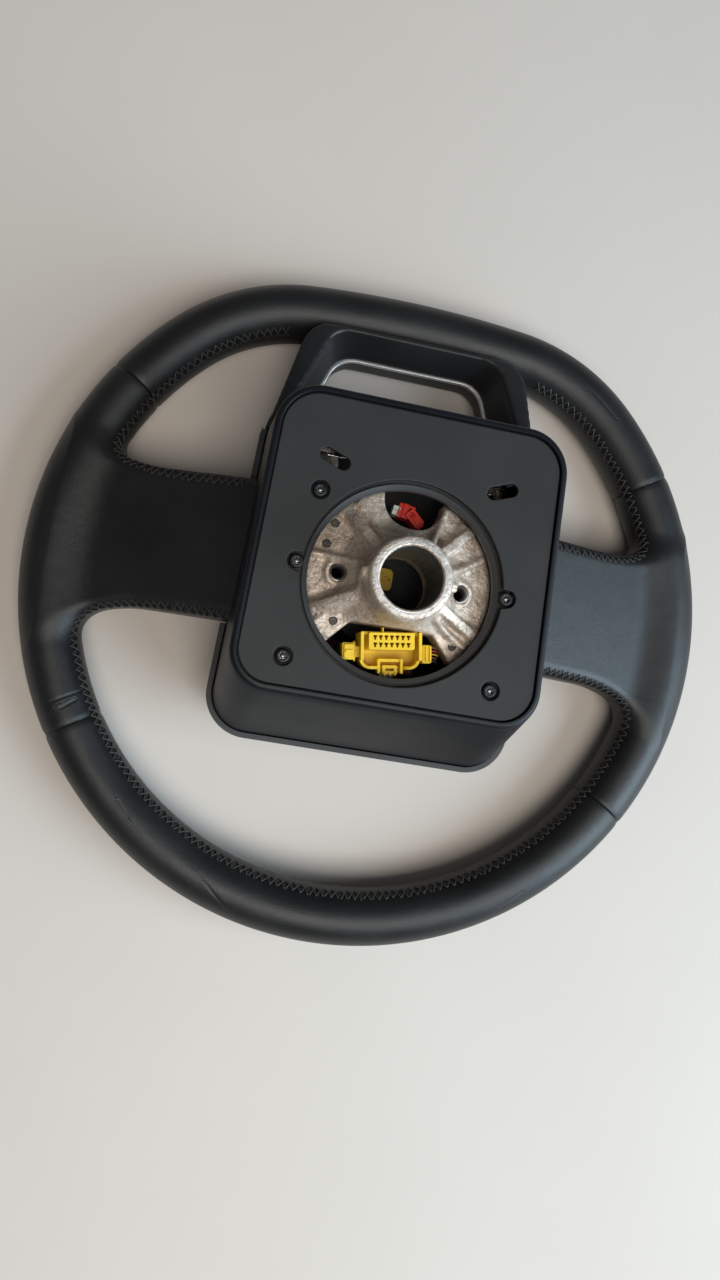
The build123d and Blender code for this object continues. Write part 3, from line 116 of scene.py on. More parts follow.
def mesh_object(name: str, verts: np.ndarray, faces: list, smooth: bool = True) -> Piece:
    """Makes a linked object from points in millimetres.

    Args:
        name: the piece's name.
        verts: points, one row each, in the model's frame.
        faces: tuples of point numbers.
        smooth: whether its faces shade smoothly.

    Returns:
        The new object.
    """
    mesh = bpy.data.meshes.new(name)
    mesh.from_pydata((np.asarray(verts) * MM).tolist(), [], [tuple(int(i) for i in f) for f in faces])
    mesh.update()
    if smooth:
        shade_smooth(mesh)
    return linked(name, mesh)


def points_of(mesh: bpy.types.Mesh) -> np.ndarray:
    """A mesh's points in millimetres, one row each."""
    flat = np.empty(len(mesh.vertices) * 3, dtype=np.float32)
    mesh.vertices.foreach_get("co", flat)
    return flat.reshape(-1, 3).astype(float) / MM


def put_points(mesh: bpy.types.Mesh, verts: np.ndarray) -> None:
    """Writes points in millimetres back to a mesh."""
    mesh.vertices.foreach_set("co", (verts * MM).astype(np.float32).ravel())
    mesh.update()


def settle(piece: Piece) -> Piece:
    """Applies all modifiers of a piece to its mesh, or makes a curve at the origin into a mesh."""
    graph = bpy.context.evaluated_depsgraph_get()
    done = bpy.data.meshes.new_from_object(piece.evaluated_get(graph))
    old = piece.data
    if piece.type == "MESH":
        piece.modifiers.clear()
        piece.data = done
        bpy.data.meshes.remove(old)
        return piece
    name = piece.name
    bpy.data.objects.remove(piece)
    return linked(name, done)


def joined(name: str, parts: list) -> Piece:
    """Joins mesh objects at the origin into one.

    Args:
        name: the joined piece's name.
        parts: mesh objects, which are used up.

    Returns:
        The joined object.
    """
    whole = bmesh.new()
    for part in parts:
        whole.from_mesh(part.data)
        bpy.data.objects.remove(part)
    mesh = bpy.data.meshes.new(name)
    whole.to_mesh(mesh)
    whole.free()
    return linked(name, mesh)


def copy_of(source: Piece) -> Piece:
    """Loose copy of a CAD node's form, for shaping."""
    return linked("copy", source.data.copy())


def crisp(piece: Piece, degrees: float = 35.0) -> None:
    """Shades a piece smoothly, with hard edges above an angle."""
    with edited(piece.data) as work:
        bmesh.ops.recalc_face_normals(work, faces=work.faces)
        for edge in work.edges:
            edge.smooth = len(edge.link_faces) == 2 and edge.calc_face_angle(0.0) < math.radians(degrees)
        for face in work.faces:
            face.smooth = True


def ring_faces(rings: int, count: int, closed: bool) -> list:
    """Quads between rings of equal length.

    Args:
        rings: how many rings follow each other.
        count: points in each ring.
        closed: whether the last ring joins the first.

    Returns:
        The faces' point numbers.
    """
    faces = []
    for i in range(rings if closed else rings - 1):
        a, b = i * count, ((i + 1) % rings) * count
        faces += [(a + j, a + (j + 1) % count, b + (j + 1) % count, b + j) for j in range(count)]
    return faces


def lathe(name: str, profile: Points, steps: int = 144) -> Piece:
    """Turns a closed profile about the steering axis.

    Args:
        name: the piece's name.
        profile: radius and height pairs in order.
        steps: points round the axis.

    Returns:
        The turned object.
    """
    rings = [raised(circle(0, 0, r, steps), h) for r, h in profile]
    made = mesh_object(name, np.concatenate(rings), ring_faces(len(profile), steps, True))
    crisp(made)
    return made


def rounded_polygon(corners: Points, radii: list[float], steps: int = 14, between: int = 0) -> np.ndarray:
    """Polygon with arcs at its corners.

    Args:
        corners: corner points in order, anticlockwise.
        radii: each corner's radius.
        steps: points on each arc, less one.
        between: points on each straight side, between its arcs.

    Returns:
        Points round the outline, one row each.
    """
    out = []
    count = len(corners)
    for i, radius in enumerate(radii):
        here = np.array(corners[i], float)
        back = np.array(corners[i - 1], float) - here
        ahead = np.array(corners[(i + 1) % count], float) - here
        back, ahead = back / np.linalg.norm(back), ahead / np.linalg.norm(ahead)
        half = math.acos(np.clip(back @ ahead, -1, 1)) / 2
        middle = (back + ahead) / np.linalg.norm(back + ahead)
        centre = here + middle * radius / math.sin(half)
        start = here + back * radius / math.tan(half) - centre
        sweep = math.pi - 2 * half
        for k in range(steps + 1):
            a = sweep * k / steps
            out.append(centre + np.array([start[0] * math.cos(a) - start[1] * math.sin(a),
                                          start[0] * math.sin(a) + start[1] * math.cos(a)]))
    if not between:
        return np.array(out)
    arcs = np.array(out).reshape(count, steps + 1, 2)
    share = np.linspace(0, 1, between + 2)[1:-1, None]
    sides = [arcs[i, -1] + share * (arcs[(i + 1) % count, 0] - arcs[i, -1]) for i in range(count)]
    return np.concatenate([part for pair in zip(arcs, sides) for part in pair])


def rounded_box(span: tuple, radii: list[float], steps: int) -> np.ndarray:
    """Outline of a box with rounded corners, from its first and last X and its first and last Y."""
    x0, x1, y0, y1 = span
    return rounded_polygon([(x0, y0), (x1, y0), (x1, y1), (x0, y1)], radii, steps)


def circle(x: float, y: float, radius: float | np.ndarray, steps: int = 48) -> np.ndarray:
    """Points of a circle in plan, or of a lobed one where each point has its own radius."""
    turn = full_turn(steps)
    return np.stack([x + radius * np.cos(turn), y + radius * np.sin(turn)], 1)


def slot_outline(x: float, y: float, length: float, width: float, turn: float) -> np.ndarray:
    """Points of a round-ended slot in plan, turned by degrees."""
    a = np.linspace(-np.pi / 2, np.pi / 2, 17)
    half, radius = (length - width) / 2, width / 2
    right = np.stack([half + radius * np.cos(a), radius * np.sin(a)], 1)
    outline = np.concatenate([right, -right])
    c, s = math.cos(math.radians(turn)), math.sin(math.radians(turn))
    return outline @ np.array([[c, s], [-s, c]]) + (x, y)


def slot_pair(slot: tuple) -> list:
    """Outlines of a slot and its mirror image, from its place, length, width and turn."""
    x, y, length, width, turn = slot
    return [slot_outline(side * x, y, length, width, -side * turn) for side in (-1, 1)]


def flat_piece(name: str, outer: np.ndarray, holes: list, low: float, high: float,
               edge: float) -> Piece:
    """Plate with holes and rounded edges, from outlines in plan.

    Args:
        name: the piece's name.
        outer: outer outline.
        holes: outlines of the holes.
        low: lower height.
        high: upper height.
        edge: radius of the edges.

    Returns:
        The plate.
    """
    curve = bpy.data.curves.new(name, "CURVE")
    curve.dimensions = "2D"
    curve.fill_mode = "BOTH"
    for outline in [outer, *holes]:
        spline = curve.splines.new("POLY")
        spline.points.add(len(outline) - 1)
        flat = np.concatenate([outline * MM, np.zeros((len(outline), 1)), np.ones((len(outline), 1))], 1)
        spline.points.foreach_set("co", flat.astype(np.float32).ravel())
        spline.use_cyclic_u = True
    curve.extrude = ((high - low) / 2 - edge) * MM
    curve.bevel_depth = edge * MM
    curve.bevel_resolution = 2
    curve.offset = -edge * MM
    made = settle(linked(name, curve))
    verts = points_of(made.data)
    verts[:, 2] += up((low + high) / 2)
    put_points(made.data, verts)
    with edited(made.data) as work:
        bmesh.ops.remove_doubles(work, verts=work.verts, dist=CURVE_WELD_DISTANCE)
    crisp(made, 10.0)
    return made


def slab(span: tuple, low: float, high: float, radius: float = 0.7, holes: tuple = (),
         edge: float = 0.25) -> Piece:
    """Block with rounded corners and edges.

    Args:
        span: first and last X, then first and last Y.
        low: lower height.
        high: upper height.
        radius: radius of the corners in plan.
        holes: outlines of holes through it.
        edge: radius of the edges.

    Returns:
        The block.
    """
    return flat_piece("slab", rounded_box(span, [radius] * 4, 5), list(holes), low, high, edge)


def turned(piece: Piece, x: float, y: float, degrees: float) -> Piece:
    """Turns a piece about its upright axis and sets it at a place in plan."""
    verts = points_of(piece.data)
    c, s = math.cos(math.radians(degrees)), math.sin(math.radians(degrees))
    verts[:, :2] = verts[:, :2] @ np.array([[c, s], [-s, c]]) + (x, y)
    put_points(piece.data, verts)
    return piece


def cut(piece: Piece, tools: list) -> None:
    """Takes tool solids out of a piece, and uses the tools up."""
    for tool in tools:
        step = piece.modifiers.new("cut", "BOOLEAN")
        step.operation = "DIFFERENCE"
        step.solver = "EXACT"
        step.object = tool
    settle(piece)
    for tool in tools:
        bpy.data.objects.remove(tool)


def tube(path: np.ndarray, radius: float, sides: int = 8) -> tuple[np.ndarray, list]:
    """Round tube with closed ends along a path.

    Args:
        path: points in millimetres, one row each.
        radius: the tube's radius.
        sides: points round it.

    Returns:
        Its points and its faces.
    """
    along = np.gradient(path, axis=0)
    along /= np.linalg.norm(along, axis=1)[:, None]
    side = np.cross(along, (0.31, 0.17, 0.93))
    side /= np.linalg.norm(side, axis=1)[:, None]
    over = np.cross(along, side)
    turn = full_turn(sides)[:, None]
    verts = path[:, None] + radius * (side[:, None] * np.cos(turn) + over[:, None] * np.sin(turn))
    faces = ring_faces(len(path), sides, False)
    faces += [tuple(reversed(range(sides))), tuple(range((len(path) - 1) * sides, len(path) * sides))]
    return verts.reshape(-1, 3), faces


def smooth_path(knots: np.ndarray, count: int) -> np.ndarray:
    """Smooth curve through knots.

    Args:
        knots: points in order, one row each.
        count: points along the curve.

    Returns:
        Points along the curve.
    """
    t = np.linspace(0, len(knots) - 1, count)
    at = np.clip(t.astype(int), 0, len(knots) - 2)
    pad = np.concatenate([[2 * knots[0] - knots[1]], knots, [2 * knots[-1] - knots[-2]]])
    f = (t - at)[:, None]
    a, b, c, d = pad[at], pad[at + 1], pad[at + 2], pad[at + 3]
    return 0.5 * (2 * b + (c - a) * f + (2 * a - 5 * b + 4 * c - d) * f**2
                  + (3 * b - a - 3 * c + d) * f**3)


def tubes(name: str, paths: list, radius: float, sides: int = 8) -> Piece:
    """One object of round tubes along many paths."""
    verts, faces, first = [], [], 0
    for path in paths:
        points, quads = tube(np.asarray(path, float), radius, sides)
        verts.append(points)
        faces += [tuple(i + first for i in quad) for quad in quads]
        first += len(points)
    return mesh_object(name, np.concatenate(verts), faces)


def remeshed(name: str, source: Piece, voxel: float, rounds: int) -> Piece:
    """Even mesh over a solid, with its edges worn round as a casting's or a soft moulding's are.

    Args:
        name: the new piece's name.
        source: the object whose form it takes.
        voxel: mesh size in millimetres.
        rounds: passes of smoothing.

    Returns:
        The new object.
    """
    made = linked(name, source.data.copy())
    made.data.materials.clear()
    weld(made)
    even = made.modifiers.new("even", "REMESH")
    even.mode = "VOXEL"
    even.voxel_size = voxel * MM
    even.use_smooth_shade = True
    if rounds:
        wear = made.modifiers.new("wear", "CORRECTIVE_SMOOTH")
        wear.iterations = rounds
        wear.use_only_smooth = True
    settle(made)
    shade_smooth(made.data)
    return made


def place(piece: Piece, finish: "Finish", slot: str, *nodes: str, body: Body = Body.WHEEL) -> None:
    """Dresses a piece, sets it on its body and reports it.

    Args:
        piece: the piece.
        finish: what it is made of.
        slot: not used.
        nodes: CAD nodes that it stands for.
        body: the CAD body that it rides on.
    """
    piece.data.materials.clear()
    piece.data.materials.append(finish.material())
    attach(piece, body.value)
    if nodes:
        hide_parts(*nodes)
    LOG.info("%s: %d faces", piece.name, len(piece.data.polygons))


# Finishes

class Shader:
    """A material's nodes, made in order from its surface back to its textures."""

    def __init__(self, name: str) -> None:
        """Starts a material with one principled surface."""
        self.result = bpy.data.materials.new(name)
        self.result.use_nodes = True
        self.tree = self.result.node_tree
        self.surface = self.tree.nodes["Principled BSDF"]
        self.place = self.tree.nodes.new("ShaderNodeTexCoord").outputs["Object"]

    def node(self, kind: str, values: dict | None = None, **settings: object) -> bpy.types.Node:
        """Adds a node.

        Args:
            kind: the node's type name without its prefix.
            values: input values or links by socket name or number.
            settings: the node's own settings.

        Returns:
            The node.
        """
        made = self.tree.nodes.new("ShaderNode" + kind)
        for key, value in settings.items():
            setattr(made, key, value)
        for key, value in (values or {}).items():
            if isinstance(value, Socket):
                self.tree.links.new(value, made.inputs[key])
            else:
                made.inputs[key].default_value = value
        return made

    def noise(self, scale: float, detail: float = 3.0, rough: float = 0.55) -> Socket:
        """Cloudy grey noise with features of about one metre over scale."""
        return self.node("TexNoise", {"Vector": self.place, "Scale": scale, "Detail": detail,
                                      "Roughness": rough}).outputs["Fac"]

    def cells(self, scale: float, feature: str = "DISTANCE_TO_EDGE") -> Socket:
        """Cell pattern, as of pores."""
        made = self.node("TexVoronoi", {"Vector": self.place, "Scale": scale}, feature=feature)
        return made.outputs["Distance"]

    def waves(self, values: dict, **settings: str) -> Socket:
        """Even bands or rings."""
        return self.node("TexWave", {"Vector": self.place, **values}, **settings).outputs["Fac"]

    def math(self, operation: str, *values: object) -> Socket:
        """Sum on numbers or sockets."""
        return self.node("Math", dict(enumerate(values)), operation=operation).outputs[0]

    def span(self, value: object, low: float, high: float, out_low: float,
             out_high: float) -> Socket:
        """Carries a value from one range to another, held at its ends."""
        return self.node("MapRange", {0: value, 1: low, 2: high, 3: out_low, 4: out_high}).outputs[0]

    def mix(self, share: object, first: object, second: object) -> Socket:
        """Mixes two colours by a share."""
        made = self.node("Mix", data_type="RGBA")
        for key, value in ((0, share), (6, first), (7, second)):
            if isinstance(value, Socket):
                self.tree.links.new(value, made.inputs[key])
            else:
                made.inputs[key].default_value = value if key == 0 else (*value, 1.0)
        return made.outputs[2]

    def bump(self, height: object, depth: float, strength: float = 1.0,
             below: object = None) -> Socket:
        """Raised detail of a depth in metres, over another if one is given."""
        values = {"Height": height, "Distance": depth, "Strength": strength}
        if below is not None:
            values["Normal"] = below
        return self.node("Bump", values).outputs[0]

    def wire(self, **sockets: object) -> Material:
        """Sets or links the surface's sockets and returns the material.

        Args:
            sockets: values or links, named as the surface's sockets with _ for spaces.

        Returns:
            The finished material.
        """
        for key, value in sockets.items():
            socket = self.surface.inputs[key.replace("_", " ")]
            if isinstance(value, Socket):
                self.tree.links.new(value, socket)
            else:
                socket.default_value = (*value, 1.0) if isinstance(value, tuple) else value
        return self.result


@dataclass(frozen=True)
class Finish:
    """A named finish, made once."""

    name: str

    def material(self) -> Material:
        """The finish's material, made at its first use."""
        return bpy.data.materials.get(self.name) or self.build()

    def build(self) -> Material:
        """Makes the material."""
        raise NotImplementedError


@dataclass(frozen=True)
class Leather(Finish):
    """Smooth grained leather, darker and pressed in along its seams."""

    colour: tuple = (0.0062, 0.0064, 0.0068)
    worn: tuple = (0.0105, 0.0106, 0.011)
    roughness: float = 0.42
    pore: float = 0.0009
    seam_width: float = 0.0006

    def build(self) -> Material:
        """Makes the leather's material."""
        s = Shader(self.name)
        pores = s.cells(1 / self.pore)
        fine = s.noise(2600, 2.0)
        broad = s.noise(22, 4.0, 0.6)
        grain = s.math("ADD", s.span(pores, 0.0, 0.16, 0.0, 1.0), s.math("MULTIPLY", fine, 0.5))
        skin = s.bump(grain, 0.00010, 0.34, s.bump(s.noise(95, 3.0), 0.0009, 0.22))
        line = s.node("Attribute", attribute_name="seam").outputs["Fac"]
        pressed = s.span(s.math("ABSOLUTE", line), 0.0, self.seam_width, 0.0, 1.0)
        fold = s.node("Attribute", attribute_name="crease").outputs["Fac"]
        folded = s.span(s.math("ABSOLUTE", fold), 0.0, 2.2 * self.seam_width, 0.0, 1.0)
        seam = s.bump(pressed, 0.0008, 0.8, s.bump(folded, 0.0004, 0.55, skin))
        tone = s.mix(s.span(broad, 0.35, 0.7, 0.0, 1.0), self.colour, self.worn)
        dark = s.mix(s.span(pressed, 0.0, 0.9, 0.75, 0.0), tone, (0.004, 0.004, 0.004))
        gloss = s.span(s.math("ADD", broad, s.math("MULTIPLY", pores, 0.5)), 0.3, 0.9,
                       self.roughness - 0.06, self.roughness + 0.08)
        return s.wire(Base_Color=dark, Roughness=gloss, Normal=seam, Specular_IOR_Level=0.44)


@dataclass(frozen=True)
class Moulded(Finish):
    """Moulded plastic with the fine texture of its tool and faint handling marks."""

    colour: tuple = (0.02, 0.02, 0.022)
    lighter: tuple = (0.028, 0.028, 0.03)
    roughness: float = 0.42
    texture: float = 1500.0
    depth: float = 0.00007
    shine: float = 0.5

    def build(self) -> Material:
        """Makes the plastic's material."""
        s = Shader(self.name)
        tool = s.noise(self.texture, 2.0, 0.6)
        broad = s.noise(30, 4.0, 0.6)
        smear = s.noise(9, 2.0)
        skin = s.bump(tool, self.depth, 0.5, s.bump(broad, 0.0004, 0.08))
        tone = s.mix(s.span(broad, 0.35, 0.7, 0.0, 1.0), self.colour, self.lighter)
        gloss = s.span(s.math("ADD", smear, s.math("MULTIPLY", tool, 0.3)), 0.35, 0.95,
                       self.roughness - 0.05, self.roughness + 0.09)
        return s.wire(Base_Color=tone, Roughness=gloss, Normal=skin, Specular_IOR_Level=self.shine)


@dataclass(frozen=True)
class Cast(Finish):
    """As-cast light alloy: mottled, stained and pitted."""

    dull: tuple = (0.48, 0.385, 0.31)
    bright: tuple = (0.80, 0.68, 0.57)
    stain: tuple = (0.10, 0.075, 0.06)

    def build(self) -> Material:
        """Makes the casting's material."""
        s = Shader(self.name)
        cloud = s.noise(90, 6.0, 0.7)
        speck = s.noise(520, 4.0, 0.75)
        pits = s.cells(420, "F1")
        tone = s.mix(s.span(cloud, 0.36, 0.64, 0.0, 1.0), self.dull, self.bright)
        tone = s.mix(s.span(speck, 0.52, 0.70, 0.0, 0.85), tone, self.stain)
        rough = s.span(s.math("ADD", cloud, s.math("MULTIPLY", speck, 0.6)), 0.5, 1.1, 0.40, 0.62)
        waves = s.bump(s.noise(210, 5.0, 0.65), 0.0016, 0.6)
        skin = s.bump(s.span(pits, 0.05, 0.4, 0.0, 1.0), 0.0004, 0.25, waves)
        return s.wire(Base_Color=tone, Roughness=rough, Normal=skin, Metallic=0.55)


@dataclass(frozen=True)
class Machined(Finish):
    """Turned metal with fine rings round the steering axis."""

    colour: tuple = (0.50, 0.48, 0.455)
    roughness: float = 0.34
    rings: float = 900.0

    def build(self) -> Material:
        """Makes the turned metal's material."""
        s = Shader(self.name)
        turned = s.waves({"Scale": self.rings, "Distortion": 1.5, "Detail": 2.0},
                         wave_type="RINGS", rings_direction="Z")
        cloud = s.noise(160, 4.0, 0.65)
        tone = s.mix(s.span(cloud, 0.4, 0.7, 0.0, 0.55), self.colour, (0.34, 0.31, 0.28))
        rough = s.span(cloud, 0.3, 0.75, self.roughness, self.roughness + 0.18)
        return s.wire(Base_Color=tone, Roughness=rough, Normal=s.bump(turned, 0.00005, 0.5), Metallic=0.9)


@dataclass(frozen=True)
class Metal(Finish):
    """Plated or drawn metal with faint scuffs."""

    colour: tuple = (0.55, 0.55, 0.56)
    roughness: float = 0.28
    metallic: float = 1.0
    mottle: float = 0.6

    def build(self) -> Material:
        """Makes the metal's material."""
        s = Shader(self.name)
        cloud = s.noise(240, 4.0, 0.6)
        scuff = s.noise(1500, 2.0, 0.7)
        darker = tuple(c * 0.62 for c in self.colour)
        tone = s.mix(s.span(cloud, 0.35, 0.75, 0.0, self.mottle), self.colour, darker)
        rough = s.span(s.math("ADD", cloud, scuff), 0.6, 1.4, self.roughness - 0.06, self.roughness + 0.16)
        skin = s.bump(scuff, 0.00005, 0.3)
        return s.wire(Base_Color=tone, Roughness=rough, Normal=skin, Metallic=self.metallic)


@dataclass(frozen=True)
class Thread(Finish):
    """Twisted sewing thread."""

    colour: tuple = (0.019, 0.0185, 0.018)

    def build(self) -> Material:
        """Makes the thread's material."""
        s = Shader(self.name)
        twist = s.waves({"Scale": 900.0, "Distortion": 2.0}, bands_direction="DIAGONAL")
        tone = s.mix(s.span(twist, 0.2, 0.8, 0.0, 1.0), self.colour, tuple(c * 2.2 for c in self.colour))
        rough = s.span(twist, 0, 1, 0.5, 0.66)
        return s.wire(Base_Color=tone, Roughness=rough, Normal=s.bump(twist, 0.0001, 0.7))


@dataclass(frozen=True)
class Woven(Finish):
    """Folded woven nylon."""

    colour: tuple = (0.60, 0.59, 0.56)

    def build(self) -> Material:
        """Makes the cloth's material."""
        s = Shader(self.name)
        weave = s.math("MAXIMUM", *[s.waves({"Scale": 320.0}, bands_direction=way) for way in "XY"])
        tone = s.mix(s.span(s.noise(40), 0.3, 0.7, 0, 1), self.colour, tuple(c * 0.8 for c in self.colour))
        rough = s.span(weave, 0, 1, 0.75, 0.9)
        return s.wire(Base_Color=tone, Roughness=rough, Normal=s.bump(weave, 0.0003, 0.6))


LEATHER = Leather("black_leather")
# Near-black housing plastic; the cool blue cast in both its colours is a painted reflection of the window
# light.
DARK_HOUSING_BLUE_SHEEN = Moulded("dark_housing_blue_sheen", (0.0045, 0.006, 0.0082), (0.007, 0.0086, 0.0112), 0.40, shine=0.22)
PLATE = Moulded("plate_plastic", (0.018, 0.018, 0.018), (0.023, 0.023, 0.023), 0.56, 1100.0, 0.0001, 0.34)
COLLAR = Moulded("collar_plastic", (0.022, 0.0225, 0.0235), (0.032, 0.0325, 0.034), 0.42)
LOOP = Moulded("loop_plastic", (0.011, 0.011, 0.012), (0.016, 0.016, 0.017), 0.38, shine=0.4)
COVER = Moulded("cover_plastic", (0.022, 0.022, 0.024), (0.03, 0.03, 0.032), 0.52, 800.0, 0.00012)
BUTTON = Moulded("button_plastic", (0.03, 0.03, 0.033), (0.038, 0.038, 0.041), 0.46, 2200.0)
YELLOW = Moulded("yellow_plastic", (0.74, 0.47, 0.012), (0.84, 0.58, 0.03), 0.34, 700.0)
RED = Moulded("red_plastic", (0.68, 0.028, 0.018), (0.80, 0.05, 0.032), 0.36, 700.0)
PALE = Moulded("pale_plastic", (0.66, 0.70, 0.62), (0.76, 0.78, 0.72), 0.45, 700.0)
WIRE = Moulded("wire_sleeve", (0.03, 0.026, 0.022), (0.05, 0.04, 0.032), 0.5)
RED_WIRE = Moulded("red_wire", (0.35, 0.03, 0.02), (0.45, 0.05, 0.03), 0.45)
GOLD_WIRE = Moulded("gold_wire", (0.50, 0.30, 0.02), (0.6, 0.4, 0.04), 0.45)
BROWN_WIRE = Moulded("brown_wire", (0.16, 0.07, 0.03), (0.2, 0.1, 0.05), 0.45)
BOARD = Moulded("board_lacquer", (0.012, 0.09, 0.035), (0.02, 0.13, 0.05), 0.3, 900.0)
FOAM = Moulded("grip_foam", (0.045, 0.045, 0.045), (0.07, 0.07, 0.07), 0.85, 500.0, 0.0006)
CAST = Cast("cast_alloy")
BOSS = Cast("boss_alloy", (0.46, 0.435, 0.41), (0.70, 0.675, 0.65), (0.26, 0.235, 0.21))
LIP = Machined("machined_lip", (0.82, 0.79, 0.755), 0.30)
BORE = Machined("serrated_bore", (0.30, 0.293, 0.283), 0.40, 500.0)
THREADED = Metal("cut_thread", (0.30, 0.29, 0.28), 0.34)
MARK = Cast("cast_mark", (0.055, 0.046, 0.04), (0.11, 0.095, 0.085), (0.03, 0.026, 0.022))
PLATED_METAL_AND_GLINT = Metal("plated_metal_and_glint", (0.34, 0.34, 0.345), 0.30)
DARK_SCREW = Metal("blackened_screw", (0.03, 0.03, 0.032), 0.42, 0.85)
INFLATOR = Metal("coated_inflator", (0.035, 0.035, 0.037), 0.45, 0.4)
STEEL = Metal("drawn_steel", (0.42, 0.42, 0.43), 0.36)
SPRING = Metal("spring_wire", (0.66, 0.66, 0.67), 0.22)
TRAY = Metal("coated_tray", (0.06, 0.06, 0.062), 0.5, 0.3)
TRIM = Metal("bright_trim", (0.70, 0.71, 0.73), 0.30, mottle=0.12)
THREAD = Thread("dark_thread")
BAG = Woven("bag_nylon")


# Rim and spokes

@dataclass
class RimLine:
    """Centre line of the grip: round, flattened at 6 o'clock."""

    radius: float = 172.5
    flat: float = 155.1
    flat_radius: float = 600.0
    corner_radius: float = 101.0

    def __post_init__(self) -> None:
        """Works out where the arcs meet."""
        self.flat_y = self.flat_radius - self.flat
        near, far = self.radius - self.corner_radius, self.flat_radius - self.corner_radius
        self.corner_y = (near**2 - far**2 + self.flat_y**2) / (2 * self.flat_y)
        self.corner_x = math.sqrt(near**2 - self.corner_y**2)
        self.round_end = math.atan2(self.corner_y, self.corner_x)
        self.flat_end = math.atan2(self.corner_y - self.flat_y, self.corner_x)

    def outward(self, x: np.ndarray, y: np.ndarray) -> np.ndarray:
        """Distance in plan from the centre line, positive outside it.

        Args:
            x: plan coordinates.
            y: plan coordinates.

        Returns:
            Signed distances.
        """
        side = np.abs(x)
        on_round = np.hypot(x, y) - self.radius
        dx, dy = side - self.corner_x, y - self.corner_y
        on_corner = np.hypot(dx, dy) - self.corner_radius
        on_flat = np.hypot(x, y - self.flat_y) - self.flat_radius
        low = np.where(np.arctan2(dy, dx) > self.flat_end, on_corner, on_flat)
        return np.where(np.arctan2(y, side) >= self.round_end, on_round, low)


